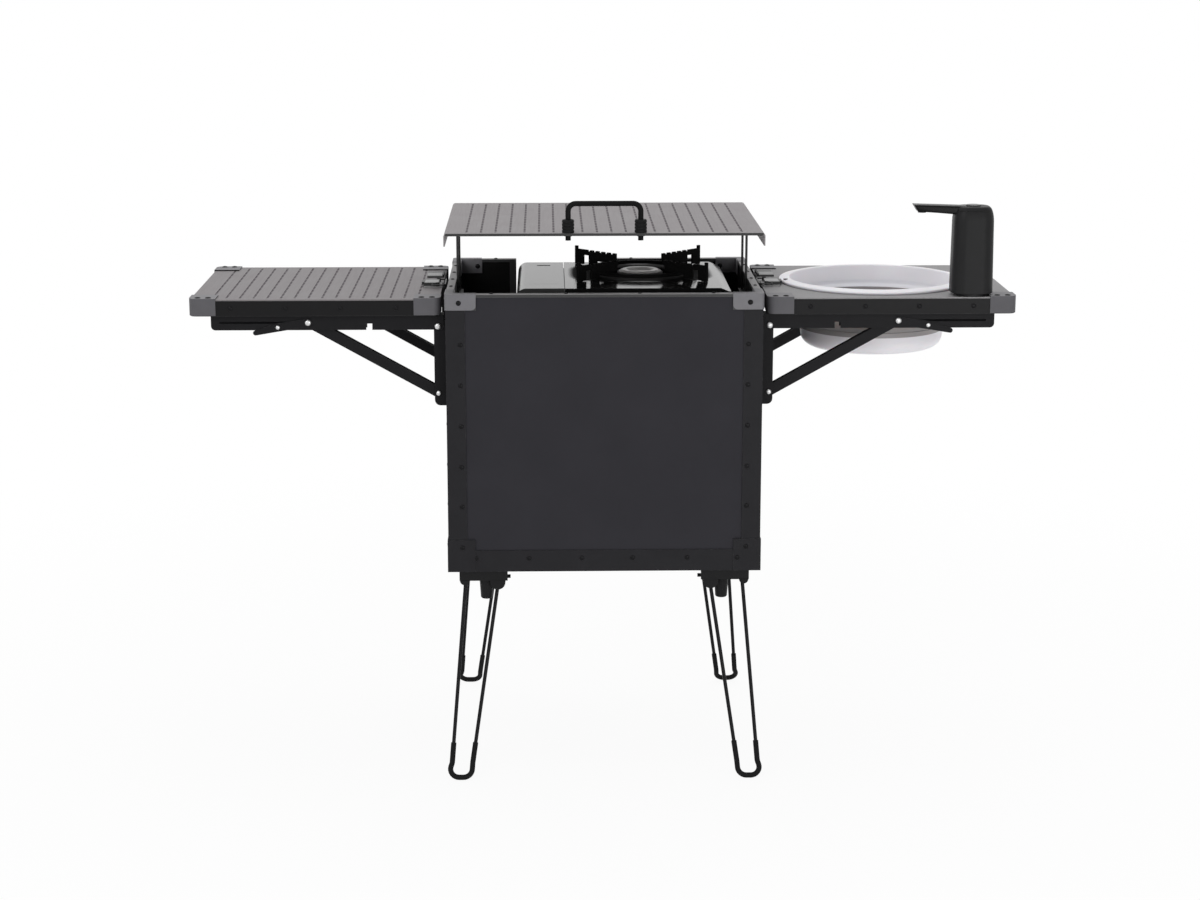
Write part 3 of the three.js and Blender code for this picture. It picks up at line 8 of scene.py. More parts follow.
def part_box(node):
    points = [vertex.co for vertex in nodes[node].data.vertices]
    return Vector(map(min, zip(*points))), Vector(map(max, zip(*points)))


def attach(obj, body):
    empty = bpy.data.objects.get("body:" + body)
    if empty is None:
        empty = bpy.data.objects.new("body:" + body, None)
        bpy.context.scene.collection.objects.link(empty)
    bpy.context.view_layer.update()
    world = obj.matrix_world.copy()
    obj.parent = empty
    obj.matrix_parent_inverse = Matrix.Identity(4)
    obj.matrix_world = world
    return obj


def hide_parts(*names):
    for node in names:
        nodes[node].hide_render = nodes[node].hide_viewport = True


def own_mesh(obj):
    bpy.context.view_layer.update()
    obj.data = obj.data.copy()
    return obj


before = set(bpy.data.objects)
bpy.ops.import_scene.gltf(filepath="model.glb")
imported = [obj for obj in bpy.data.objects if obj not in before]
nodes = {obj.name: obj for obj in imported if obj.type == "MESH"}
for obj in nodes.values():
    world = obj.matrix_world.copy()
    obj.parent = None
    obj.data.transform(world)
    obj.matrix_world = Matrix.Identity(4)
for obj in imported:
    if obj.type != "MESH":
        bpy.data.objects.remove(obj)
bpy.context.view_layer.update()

# PANELS
# Four walls and a floor of foam-core board with a satin charcoal skin. The boards are cut
# square and stand in the edge frame and the rim. The skin has a fine eggshell grain.


class Amount:
    """A number of a finish that varies over the surface. Sums on it add Math nodes."""

    def __init__(self, finish, socket):
        self.finish = finish
        self.socket = socket

    def maths(self, operation, *values):
        return self.finish.node("ShaderNodeMath", dict(enumerate(values)), operation=operation)

    def twin(self, name):
        return Amount(self.finish, self.socket.node.outputs[name])

    def __add__(self, other):
        return self.maths("ADD", self, other)

    def __sub__(self, other):
        return self.maths("SUBTRACT", self, other)

    def __rsub__(self, other):
        return self.maths("SUBTRACT", other, self)

    def __mul__(self, other):
        return self.maths("MULTIPLY", self, other)

    def __gt__(self, other):
        return self.maths("GREATER_THAN", self, other)

    def __lt__(self, other):
        return self.maths("LESS_THAN", self, other)

    def __abs__(self):
        return self.maths("ABSOLUTE", self)

    def most(self, other):
        return self.maths("MAXIMUM", self, other)

    def root(self):
        return self.maths("SQRT", self)

    __radd__ = __add__
    __rmul__ = __mul__


class Finish:
    """A material under work: `fixed` sets its shader's own sockets, `vary` links to them."""

    def __init__(self, name, fixed=None):
        self.material = bpy.data.materials.new(name)
        self.material.use_nodes = True
        self.tree = self.material.node_tree
        self.shader = self.tree.nodes["Principled BSDF"]
        self.fill(self.shader, fixed or {})

    def fill(self, node, inputs):
        for key, value in inputs.items():
            socket = node.inputs[key]
            if isinstance(value, Amount):
                self.tree.links.new(value.socket, socket)
            else:
                socket.default_value = value

    def node(self, kind, inputs=None, output=0, **settings):
        node = self.tree.nodes.new(kind)
        for key, value in settings.items():
            setattr(node, key, value)
        self.fill(node, inputs or {})
        return Amount(self, node.outputs[output])

    def vary(self, inputs):
        self.fill(self.shader, inputs)
        return self.material

    def where(self):
        return self.node("ShaderNodeTexCoord", output="Object")

    def place(self):
        """Where a point of the surface is, in metres: x, y and z."""
        x = self.node("ShaderNodeSeparateXYZ", {0: self.where()})
        return x, x.twin("Y"), x.twin("Z")

    def soft(self, value, low, high):
        """0 below low, 1 above high, smooth between them."""
        limits = {0: value, 1: low, 2: high}
        return self.node("ShaderNodeMapRange", limits, interpolation_type="SMOOTHSTEP")

    def mix(self, share, below, above):
        """One colour where share is 0, another where it is 1."""
        return self.node("ShaderNodeMix", {0: share, 6: below, 7: above}, 2, data_type="RGBA")

    def grain(self, size, detail=2, stretch=(1, 1, 1)):
        """Noise with spots of about this size in metres, drawn out along the small axes."""
        drawn = self.node("ShaderNodeMapping", {"Vector": self.where(), "Scale": stretch})
        return self.node("ShaderNodeTexNoise", {"Vector": drawn, "Scale": 1 / size, "Detail": detail})

    def bump(self, height, depth, strength):
        """The normal of a relief that is `depth` metres deep."""
        return self.node("ShaderNodeBump", {"Height": height, "Distance": depth, "Strength": strength})

    def edge(self, radius):
        """1 along outer and inner edges of a sheet, 0 on its faces."""
        rounded = self.node("ShaderNodeBevel", {"Radius": radius}, samples=4)
        flat = self.node("ShaderNodeNewGeometry", output="Normal")
        along = self.node("ShaderNodeVectorMath", {0: rounded, 1: flat}, 1, operation="DOT_PRODUCT")
        return self.soft(1 - along, 0.02, 0.16)


def grey(level, red=1, green=1, blue=1):
    """A grey that leans to the given shares of red, green and blue."""
    return (level * red, level * green, level * blue, 1)


def node_maker(tree):
    """A function that adds one node to a tree and gives back its outputs."""

    def step(kind, links=None, **settings):
        node = tree.nodes.new(kind)
        for key, value in settings.items():
            setattr(node, key, value)
        for key, value in (links or {}).items():
            if isinstance(value, bpy.types.NodeSocket):
                tree.links.new(value, node.inputs[key])
            else:
                node.inputs[key].default_value = value
        return node.outputs

    return step


def node_group(name, inputs):
    """A geometry tree with these named inputs, a Geometry in and a Geometry out."""
    tree = bpy.data.node_groups.new(name, "GeometryNodeTree")
    for label, kind in [("Geometry", "NodeSocketGeometry")] + inputs:
        tree.interface.new_socket(label, in_out="INPUT", socket_type=kind)
    tree.interface.new_socket("Geometry", in_out="OUTPUT", socket_type="NodeSocketGeometry")
    source = tree.nodes.new("NodeGroupInput").outputs
    target = tree.nodes.new("NodeGroupOutput").inputs["Geometry"]

    def end(geometry):
        tree.links.new(geometry, target)
        return tree

    return source, node_maker(tree), end


def rolled_edges():
    """Joins the loose facets of a sheet and shades its bends smooth and its corners sharp."""
    source, step, end = node_group("rolled_edges", [("Crease", "NodeSocketFloat")])
    welded = step("GeometryNodeMergeByDistance", {"Geometry": source["Geometry"], "Distance": 1e-5})
    angle = step("GeometryNodeInputMeshEdgeAngle")
    limits = {0: angle["Unsigned Angle"], 1: source["Crease"]}
    sharp = step("FunctionNodeCompare", limits, data_type="FLOAT", operation="GREATER_THAN")
    smooth = step("GeometryNodeSetShadeSmooth", {"Geometry": welded[0]}, domain="FACE")
    corners = {"Geometry": smooth[0], "Selection": sharp[0], "Shade Smooth": False}
    creased = step("GeometryNodeSetShadeSmooth", corners, domain="EDGE")
    return end(creased[0])


def set_inputs(modifier, values):
    """Sets a tree's named inputs by the identifiers of their sockets."""
    for item in modifier.node_group.interface.items_tree:
        if item.name in values and item.in_out == "INPUT":
            modifier[item.identifier] = values[item.name]


rolled = rolled_edges()
SHEET_CREASE = math.radians(28)


def dress(material, *names):
    """Gives solids of the frame their finish."""
    for name in names:
        solid = nodes[name]
        for slot in solid.material_slots:
            slot.material = material
        modifier = solid.modifiers.new("rolled_edges", "NODES")
        modifier.node_group = rolled
        set_inputs(modifier, {"Crease": SHEET_CREASE})


INNER_X = 0.2386
INNER_Y = 0.1886
board = Finish("charcoal_board_skin", {"Specular IOR Level": 0.10})
x, y, _ = board.place()
# Faces inside the box are painted near-black: painted shade inside the box.
inside_shade = (abs(x) < INNER_X) * (abs(y) < INNER_Y)
mottle = board.grain(0.09, 3)
eggshell = board.grain(0.0011)
outer_skin = board.mix(mottle, grey(0.023, 1, 0.97, 1.16), grey(0.031, 1, 0.97, 1.16))
board_skin = board.vary({
    "Base Color": board.mix(inside_shade, outer_skin, grey(0.005)),
    "Roughness": 0.50 + eggshell * 0.16,
    "Normal": board.bump(eggshell, 0.00012, 0.5),
})
dress(board_skin, "back_panel", "front_panel", "left_panel", "right_panel", "floor_panel")

# EDGE FRAME
# Angle posts on the four corners, a band round the foot and a wrap on each lower corner, all of
# black anodised aluminium. Blind rivets with black heads hold them to the boards.
SIDES = (("left", -1), ("right", 1))
ENDS = (("back", -1), ("front", 1))


def black_coat(name, low, high, roughness, edge_highlight_share):
    """Black powder coat on metal: a fine orange peel, greyer in patches along the edges as a painted edge
    highlight.
    """
    coat = Finish(name, {"Specular IOR Level": 0.10})
    peel = coat.grain(0.0016)
    cloud = coat.grain(0.03, 3)
    # Greyer in patches along the edges: a painted edge highlight.
    edge_highlight_patches = coat.edge(0.0008) * coat.soft(coat.grain(0.006, 4), 0.42, 0.7)
    colour = coat.mix(cloud, grey(low, 1, 0.98, 1.10), grey(high, 1, 0.98, 1.10))
    return coat.vary({
        "Base Color": coat.mix(edge_highlight_patches * edge_highlight_share, colour, grey(0.16)),
        "Roughness": roughness + peel * 0.14 + edge_highlight_patches * 0.1,
        "Normal": coat.bump(peel, 0.00010, 0.5),
    })


def rivet_heads():
    """A domed head on every point, turned to face along the point's `facing`."""
    source, step, end = node_group("rivet_heads", [
        ("Head radius", "NodeSocketFloat"),
        ("Head height", "NodeSocketFloat"),
        ("Finish", "NodeSocketMaterial"),
    ])
    ball = step("GeometryNodeMeshUVSphere", {"Segments": 16, "Rings": 8, "Radius": 1.0})
    facing = step("GeometryNodeInputNamedAttribute", {"Name": "facing"}, data_type="FLOAT_VECTOR")
    turned_to = step("FunctionNodeAlignRotationToVector", {"Vector": facing["Attribute"]}, axis="Z")
    across = source["Head radius"]
    size = step("ShaderNodeCombineXYZ", {"X": across, "Y": across, "Z": source["Head height"]})
    heads = step("GeometryNodeInstanceOnPoints", {
        "Points": source["Geometry"],
        "Instance": ball["Mesh"],
        "Rotation": turned_to[0],
        "Scale": size[0],
    })
    real = step("GeometryNodeRealizeInstances", {"Geometry": heads[0]})
    smooth = step("GeometryNodeSetShadeSmooth", {"Geometry": real[0]})
    painted = step("GeometryNodeSetMaterial", {"Geometry": smooth[0], "Material": source["Finish"]})
    return end(painted[0])


def placed(name, data):
    """A new object in the scene."""
    thing = bpy.data.objects.new(name, data)
    bpy.context.scene.collection.objects.link(thing)
    return thing


def grown(tree, mesh, values):
    """The plain mesh that a geometry tree makes of `mesh` with these inputs."""
    holder = placed("holder", mesh)
    modifier = holder.modifiers.new("grow", "NODES")
    modifier.node_group = tree
    set_inputs(modifier, values)
    done = holder.evaluated_get(bpy.context.evaluated_depsgraph_get())
    result = bpy.data.meshes.new_from_object(done)
    holder.modifiers.clear()
    bpy.data.objects.remove(holder)
    return result


def piece(name, mesh, body, stands_for=()):
    """A finished mesh as a piece that rides a body."""
    thing = placed(name, mesh)
    mesh.name = name
    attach(thing, body)
    if stands_for:
        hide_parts(*stands_for)
    return thing


heads_tree = rivet_heads()


def rivets(name, body, material, places, radius, height):
    """Rivets as one piece. Each place is a point in metres and the way that its head faces."""
    seeds = bpy.data.meshes.new(name + "_seeds")
    seeds.from_pydata([point for point, _ in places], [], [])
    facing = seeds.attributes.new("facing", "FLOAT_VECTOR", "POINT")
    for item, (_, way) in zip(facing.data, places):
        item.vector = way
    values = {"Head radius": radius, "Head height": height, "Finish": material}
    return piece(name, grown(heads_tree, seeds, values), body)


dress(black_coat("black_anodised_frame", 0.015, 0.021, 0.40, 0.5), "edge_frame")
black_head = black_coat("black_rivet_head", 0.006, 0.009, 0.22, 1.4)
POST_X = 0.2488
POST_Y = 0.1988
POST_ROWS = (0.372, 0.439, 0.5035, 0.5695, 0.635, 0.700)
BAND_Z = 0.354
WRAP_HEIGHT = 0.0523
WRAP_REACH = 0.206
wrap_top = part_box("edge_frame")[0].z + WRAP_HEIGHT


def on_wrap(inside):
    """How much further out a rivet sits where it holds a corner wrap too."""
    return 0.0012 if inside else 0


places = []
for _, end in ENDS:
    for x in (-0.226, 0.226):
        for z in POST_ROWS:
            places.append(((x, end * (POST_Y + on_wrap(z < wrap_top)), z), (0, end, 0)))
    for x in (-0.205, -0.1205, -0.036, 0.045, 0.132, 0.212):
        places.append(((x, end * (POST_Y + on_wrap(abs(x) > WRAP_REACH)), BAND_Z), (0, end, 0)))
for _, side in SIDES:
    for y in (-0.176, 0.176):
        for z in POST_ROWS:
            places.append(((side * (POST_X + on_wrap(z < wrap_top)), y, z), (side, 0, 0)))
    for y in (-0.125, -0.042, 0.042, 0.125):
        places.append(((side * POST_X, y, BAND_Z), (side, 0, 0)))
rivets("frame_rivets", "box", black_head, places, 0.0040, 0.0014)

# TOP RIM
# A folded aluminium channel that caps the boards, bare grey on top with its lips painted near-black
# as shade and lighter along its edges as a painted highlight, with a grey plate riveted over each
# corner. Each plate has a leaf inside the box as well.
RIM_X = 0.2501
RIM_Y = 0.2001
RIM_TOP = 0.780
PLATE_X = 0.2009
PLATE_Y = 0.1509
PLATE_FOOT = 0.755
PLATE_ROUND = 0.008
rim = Finish("rim_aluminium", {"Specular IOR Level": 0.5})
x, y, z = rim.place()
top_face = rim.soft(z, RIM_TOP - 0.00095, RIM_TOP - 0.0004)
round_x = (PLATE_X + PLATE_ROUND - abs(x)).most(0)
round_y = (PLATE_Y + PLATE_ROUND - abs(y)).most(0)
drop = (PLATE_FOOT + PLATE_ROUND - z).most(0)
beyond_x = round_x * round_x + drop * drop > PLATE_ROUND ** 2
beyond_y = round_y * round_y + drop * drop > PLATE_ROUND ** 2
plated = (abs(x) > PLATE_X) * (abs(y) > PLATE_Y) * (beyond_x + beyond_y < 0.5)
drawn = rim.grain(0.004, 3, (0.08, 0.08, 1))
bare = rim.mix(drawn, grey(0.19, 1.02, 0.99, 1), grey(0.26, 1.02, 0.99, 1))
# The lips are painted near-black below the bare top face: painted shade.
shaded_lips = rim.mix(top_face, grey(0.017, 1, 1, 1.05), bare)
plate_tone = rim.mix(rim.grain(0.012, 3), grey(0.125, 1, 0.98, 1.06), grey(0.160, 1, 0.98, 1.06))
# Lighter along the edges: a painted edge highlight.
painted_edge_highlight = rim.edge(0.0009)
toned = rim.mix(plated, shaded_lips, plate_tone)
rim_finish = rim.vary({
    "Base Color": rim.mix(painted_edge_highlight * 0.3, toned, grey(0.30)),
    "Roughness": 0.42 + drawn * 0.12,
    "Normal": rim.bump(rim.grain(0.0013), 0.00010, 0.4),
})
dress(rim_finish, "top_rim")


def box_mesh(bm, low, high, bevel=0.0):
    """Adds a block to a mesh, with its edges rounded by `bevel`."""
    centre = [(a + b) / 2 for a, b in zip(low, high)]
    size = [b - a for a, b in zip(low, high)]
    shape = Matrix.Translation(centre) @ Matrix.Diagonal((*size, 1))
    made = bmesh.ops.create_cube(bm, size=1, matrix=shape)
    if bevel:
        edges = {edge for vert in made["verts"] for edge in vert.link_edges}
        bmesh.ops.bevel(bm, geom=list(edges), offset=bevel, segments=2, profile=0.5, affect="EDGES")


def finished_mesh(bm, material, crease=40):
    """Closes a mesh under work: shared points, faces outwards, smooth up to the crease angle."""
    bmesh.ops.remove_doubles(bm, verts=bm.verts, dist=1e-6)
    bmesh.ops.recalc_face_normals(bm, faces=bm.faces)
    for face in bm.faces:
        face.smooth = True
    for edge in bm.edges:
        edge.smooth = edge.calc_face_angle(0) < math.radians(crease)
    mesh = bpy.data.meshes.new("under_work")
    bm.to_mesh(mesh)
    bm.free()
    mesh.materials.append(material)
    return mesh


LEAF_X = 0.2362
LEAF_Y = 0.1862
LEAF_FOOT = 0.756
LEAF_TOP = 0.7802
LEAF_LENGTH = 0.036
LEAF_SHEET = 0.0013
leaves = bmesh.new()
for _, side in SIDES:
    for _, end in ENDS:
        for run_x, run_y in ((LEAF_LENGTH, LEAF_SHEET), (LEAF_SHEET, LEAF_LENGTH)):
            low_x, high_x = sorted((side * LEAF_X, side * (LEAF_X - run_x)))
            low_y, high_y = sorted((end * LEAF_Y, end * (LEAF_Y - run_y)))
            box_mesh(leaves, (low_x, low_y, LEAF_FOOT), (high_x, high_y, LEAF_TOP), 0.0005)
leaf = Finish("corner_leaf_grey", {"Roughness": 0.5})
leaf_finish = leaf.vary({
    "Base Color": leaf.mix(leaf.grain(0.012, 3), grey(0.13, 1, 0.98, 1.06), grey(0.17, 1, 0.98, 1.06)),
    "Normal": leaf.bump(leaf.grain(0.0013), 0.00010, 0.4),
})
piece("corner_leaves", finished_mesh(leaves, leaf_finish), "box")
PLATE_RIVET_Z = 0.7665
LEAF_RIVET_Z = 0.768
places = []
for _, side in SIDES:
    for _, end in ENDS:
        places.append(((side * 0.228, end * RIM_Y, PLATE_RIVET_Z), (0, end, 0)))
        places.append(((side * RIM_X, end * 0.178, PLATE_RIVET_Z), (side, 0, 0)))
        places.append(((side * 0.208, end * (LEAF_Y - LEAF_SHEET), LEAF_RIVET_Z), (0, -end, 0)))
rivets("corner_rivets", "box", black_head, places, 0.0042, 0.0015)
TRACK_X = 0.2425
TRACK_Y = 0.1925
OVER_NOTCH = -0.060
places = []
for _, end in ENDS:
    for x in (-0.177, OVER_NOTCH, 0.055, 0.171):
        if end < 0 or x != OVER_NOTCH:
            places.append(((x, end * TRACK_Y, RIM_TOP), (0, 0, 1)))
for _, side in SIDES:
    for y in (-0.115, -0.040, 0.035, 0.110):
        places.append(((side * TRACK_X, y, RIM_TOP), (0, 0, 1)))
rivets("rim_rivets", "box", black_head, places, 0.0032, 0.0016)

# SHELF AND WIRE GUIDES
# A folded tray of grey zinc-coated sheet between the side walls carries the stove. Two moulded
# blocks on the side walls guide the legs of the lid's wires.


def mottled(name, fixed, grain, low, high, gloss, drift):
    """A plain finish whose tone and roughness drift together with one grain."""
    plain = Finish(name, fixed)
    spots = plain.grain(*grain)
    return plain.vary({
        "Base Color": plain.mix(spots, grey(low), grey(high)),
        "Roughness": gloss + spots * drift,
    })


dress(mottled("zinc_coated_tray", {"Metallic": 0.6}, (0.009, 1), 0.07, 0.12, 0.4, 0.2), "stove_shelf")


def moulding(name, low, high, roughness, peel_depth=0.00008):
    """Black moulded plastic with the fine spark-eroded grain of its tool."""
    plastic = Finish(name, {"Specular IOR Level": 0.10})
    spark = plastic.grain(0.0008)
    tone = plastic.grain(0.02)
    return plastic.vary({
        "Base Color": plastic.mix(tone, grey(low, 1, 1, 1.04), grey(high, 1, 1, 1.04)),
        "Roughness": roughness + spark * 0.15,
        "Normal": plastic.bump(spark, peel_depth, 0.6),
    })


dress(moulding("guide_plastic", 0.007, 0.010, 0.38), "wire_guide_left", "wire_guide_right")

# STOVE
# A cassette stove: a black enamelled casing with a gloss top plate and a dished well, a hinged
# lid over the cartridge bay, a cast burner, a gas knob and the lever that locks the cartridge.
# Heat has dulled the top plate in a rounded square round the burner.
BURNER = (0.064, 0.027)
HOT_RADIUS = 0.109
HOT_FADE = 0.012
HOT_NARROWING = 1.2


def enamel(name, low, high, gloss):
    """Fired enamel: a dark body under a clear gloss, which heat has dulled round the burner."""
    glaze = Finish(name, {"Coat Roughness": 0.12, "Specular IOR Level": 0.006})
    x, y, _ = glaze.place()
    east = x - BURNER[0]
    north = (y - BURNER[1]) * HOT_NARROWING
    spread = east * east * east * east + north * north * north * north
    away = glaze.soft(spread, HOT_RADIUS ** 4, (HOT_RADIUS + HOT_FADE) ** 4)
    wave = glaze.grain(0.03)
    fleck = glaze.grain(0.0012)
    return glaze.vary({
        "Base Color": glaze.mix(fleck, grey(low), grey(high)),
        "Roughness": 0.50 + wave * 0.08,
        "Coat Weight": away * gloss,
    })


dress(enamel("casing_enamel", 0.005, 0.008, 0.25), "stove_body")
dress(enamel("top_plate_gloss", 0.006, 0.010, 0.9), "stove_top")
dress(enamel("cartridge_lid_gloss", 0.045, 0.060, 0.85), "cartridge_lid")

DISC_EDGE = (0.0340, 0.0358)
burner = Finish("burner_alloy", {"Specular IOR Level": 0.4})
x, y, _ = burner.place()
east = x - BURNER[0]
north = y - BURNER[1]
# The disc is painted near-white: the alloy's own light grey raised into a painted reflection, in patches.
# The recess beyond the disc's edge is painted near-black: painted shade.
disc = burner.soft((east * east + north * north).root(), *DISC_EDGE)
turning = burner.grain(0.0012)
reflection_patches = burner.grain(0.014, 3)
painted_reflection = burner.mix(reflection_patches, grey(0.86, 1.01, 1, 0.98), grey(0.95, 1.01, 1, 0.98))
burner_finish = burner.vary({
    "Base Color": burner.mix(disc, painted_reflection, grey(0.02)),
    "Metallic": 0.20 - disc * 0.15,
    "Roughness": 0.32 + turning * 0.15,
    "Normal": burner.bump(turning, 0.0001, 0.3),
})
dress(burner_finish, "burner_head")
PORTS = 36
PORT_RING = 0.0374
PORT_Z = 0.7795
places = []
for port in range(PORTS):
    turn = 2 * math.pi * port / PORTS
    way = (math.cos(turn), math.sin(turn), 0)
    spot = (BURNER[0] + PORT_RING * way[0], BURNER[1] + PORT_RING * way[1], PORT_Z)
    places.append((spot, way))
# Each flame port is a small dome painted near-black: painted shade where the holes are.
port_shade = Finish("flame_port", {"Base Color": grey(0.002)})
soot = port_shade.grain(0.002)
port_finish = port_shade.vary({"Roughness": 0.8 + soot * 0.2})
rivets("flame_ports", "box", port_finish, places, 0.0014, 0.0003)
dress(moulding("knob_plastic", 0.007, 0.010, 0.25), "control_knob")
dress(moulding("lever_plastic", 0.008, 0.011, 0.30), "cartridge_lever")

# PAN SUPPORT
# A ring with four crossed blades, cast and enamelled black, with teeth along each blade and a
# deep web with one small window under it. It stands on the top plate on its feet and lifts off.


def plate(bm, outline, near, far, shift=Matrix()):
    """Adds a plate to a mesh: an outline of (x, z) points from y near to y far, then shifted."""
    walls = [[bm.verts.new(shift @ Vector((x, y, z))) for x, z in outline] for y in (near, far)]
    bm.faces.new(walls[0])
    bm.faces.new(list(reversed(walls[1])))
    for step in range(len(outline)):
        after = (step + 1) % len(outline)
        bm.faces.new((walls[0][step], walls[1][step], walls[1][after], walls[0][after]))


iron = Finish("pan_support_iron", {"Specular IOR Level": 0.05})
sand = iron.grain(0.0018, 4)
support_iron = iron.vary({
    "Base Color": iron.mix(iron.grain(0.03, 3), grey(0.004), grey(0.008)),
    "Roughness": 0.55 + sand * 0.25,
    "Normal": iron.bump(sand, 0.0003, 0.6),
})
dress(support_iron, "pan_support")
BLADE_HALF = 0.0019
BAR_Z = 0.7975
WEB_Z = 0.789
TOE_Z = 0.781
WEB = ((0.056, BAR_Z), (0.056, WEB_Z), (0.098, WEB_Z), (0.098, TOE_Z), (0.116, TOE_Z), (0.116, BAR_Z))
HEEL = ((0.129, BAR_Z), (0.129, TOE_Z), (0.137, TOE_Z), (0.137, BAR_Z))
webs = bmesh.new()
for angle in (45, 135, 225, 315):
    shift = Matrix.Translation((*BURNER, 0)) @ Matrix.Rotation(math.radians(angle), 4, "Z")
    for outline in (WEB, HEEL):
        plate(webs, outline, -BLADE_HALF, BLADE_HALF, shift)
piece("pan_support_webs", finished_mesh(webs, support_iron), "grate")

# LID
# One folded aluminium sheet in warm grey with twenty pressed grooves, each printed with a
# broken dark line. Two rubber bushes carry the handle and two wire hairpins slide in the box.
DASH_RUN = 0.031
DASH_SHARE = 0.74
DASH_STRAY = 0.371
DASH_HALF_WIDTH = 0.00155
GROOVE_DEPTH = 0.0012
HEM_X = 0.2475
HEM_Y = 0.1976


def grooved_sheet(name, face_z, middle, pitch, count, reach, low, high):
    """Warm grey brushed aluminium with the broken dark lines in its grooves."""
    sheet = Finish(name, {"Metallic": 0.15, "Specular IOR Level": 0.3})
    x, y, z = sheet.place()
    column = (x - middle) * (1 / pitch) + (0.5 if count % 2 == 0 else 0)
    number = column.maths("ROUND", column)
    across = abs(column - number) * pitch
    stray = number.maths("FRACT", number * DASH_STRAY)
    run = stray.maths("FRACT", y * (1 / DASH_RUN) + stray)
    line = (across < DASH_HALF_WIDTH) * (abs(y) < reach) * (abs(x - middle) < pitch * count / 2)
    groove = line * (z > face_z - GROOVE_DEPTH) * (z < face_z + 0.0001)
    ink = groove * (0.30 + 0.70 * (run < DASH_SHARE))
    brushed = sheet.grain(0.003, 3, (1, 0.05, 1))
    cloud = sheet.grain(0.05, 3)
    metal = sheet.mix(cloud, grey(low, 1.07, 0.96, 1.0), grey(high, 1.03, 0.98, 1.0))
    # The hems are painted near-black: painted shade under the sheet's edge.
    hem_shade = (abs(y) > HEM_Y) * (abs(x) < HEM_X)
    inked = sheet.mix(ink * 0.88, metal, grey(0.055, 1.1, 0.90, 1.05))
    return sheet, {
        "Base Color": sheet.mix(hem_shade, inked, grey(0.03)),
        "Roughness": 0.46 + brushed * 0.12 + ink * 0.2,
        "Normal": sheet.bump(brushed, 0.00012, 0.25),
    }


lid_sheet, lid_links = grooved_sheet(
    "lid_sheet",
    face_z=0.875, middle=0, pitch=0.0226, count=20, reach=0.185, low=0.18, high=0.22,
)
dress(lid_sheet.vary(lid_links), "lid_panel")


def turned(bm, profile, centre, steps):
    """Sweeps a closed outline of (radius, height) round a vertical line."""
    rings = []
    for radius, height in profile:
        count = steps if radius > 0 else 1
        ring = []
        for step in range(count):
            angle = 2 * math.pi * step / steps
            spot = (centre[0] + radius * math.cos(angle), centre[1] + radius * math.sin(angle), height)
            ring.append(bm.verts.new(spot))
        rings.append(ring)
    for ring, above in zip(rings, rings[1:] + rings[:1]):
        for step in range(steps):
            after = (step + 1) % steps
            corners = []
            for vert in (
                ring[step % len(ring)],
                ring[after % len(ring)],
                above[after % len(above)],
                above[step % len(above)],
            ):
                if vert not in corners:
                    corners.append(vert)
            if len(corners) > 2:
                bm.faces.new(corners)


def spun(profile, centre, steps, material, crease=40):
    """The finished mesh of one swept outline."""
    bm = bmesh.new()
    turned(bm, profile, centre, steps)
    return finished_mesh(bm, material, crease)


rubber = moulding("bush_rubber", 0.006, 0.009, 0.5)
BUSH_X = 0.0565
BUSH_FOOT = 0.8752
HANDLE_Y = -0.189
bush_profile = [(0.0045, BUSH_FOOT), (0.0092, BUSH_FOOT), (0.0096, BUSH_FOOT + 0.0007)]
for rib in range(3):
    foot = BUSH_FOOT + 0.0035 + rib * 0.0052
    bush_profile += [(0.0096, foot), (0.0089, foot + 0.0006)]
    bush_profile += [(0.0089, foot + 0.0018), (0.0096, foot + 0.0024)]
bush_profile += [(0.0093, 0.8944), (0.0084, 0.8956), (0.0056, 0.8956), (0.0046, 0.8948)]
bushes = bmesh.new()
for _, side in SIDES:
    turned(bushes, bush_profile, (side * BUSH_X, HANDLE_Y), 32)
piece("handle_bushes", finished_mesh(bushes, rubber), "lid")


def rod_tree():
    """A round rod along a chain of edges, with a bend at each point of its `bend` radius."""
    source, step, end = node_group("bent_rod", [
        ("Rod radius", "NodeSocketFloat"),
        ("Finish", "NodeSocketMaterial"),
    ])
    line = step("GeometryNodeMeshToCurve", {"Mesh": source["Geometry"]})
    bend = step("GeometryNodeInputNamedAttribute", {"Name": "bend"}, data_type="FLOAT")
    bends = {"Curve": line[0], "Count": 8, "Radius": bend["Attribute"], "Limit Radius": True}
    bent = step("GeometryNodeFilletCurve", bends, mode="POLY")
    circle = step("GeometryNodeCurvePrimitiveCircle", {"Resolution": 16, "Radius": source["Rod radius"]})
    sweep = {"Curve": bent[0], "Profile Curve": circle[0], "Fill Caps": True}
    swept = step("GeometryNodeCurveToMesh", sweep)
    smooth = step("GeometryNodeSetShadeSmooth", {"Geometry": swept[0]})
    real = step("GeometryNodeRealizeInstances", {"Geometry": smooth[0]})
    painted = step("GeometryNodeSetMaterial", {"Geometry": real[0], "Material": source["Finish"]})
    return end(painted[0])


bent_rod = rod_tree()


def rod(stops, radius, material):
    """The mesh of a rod through these stops: x, y, z and the radius of the bend there."""
    chain = bpy.data.meshes.new("rod_line")
    links = [(stop, stop + 1) for stop in range(len(stops) - 1)]
    chain.from_pydata([stop[:3] for stop in stops], links, [])
    bend = chain.attributes.new("bend", "FLOAT", "POINT")
    for item, stop in zip(bend.data, stops):
        item.value = stop[3] if len(stop) > 3 else 0
    return grown(bent_rod, chain, {"Rod radius": radius, "Finish": material})


def joined(*meshes):
    """Several meshes as one, each with its own finish."""
    bm = bmesh.new()
    finishes = []
    for mesh in meshes:
        before = len(bm.faces)
        bm.from_mesh(mesh)
        bm.faces.ensure_lookup_table()
        if mesh.materials[0] not in finishes:
            finishes.append(mesh.materials[0])
        for face in bm.faces[before:]:
            face.material_index = finishes.index(mesh.materials[0])
    whole = bpy.data.meshes.new("joined")
    bm.to_mesh(whole)
    bm.free()
    for material in finishes:
        whole.materials.append(material)
    return whole


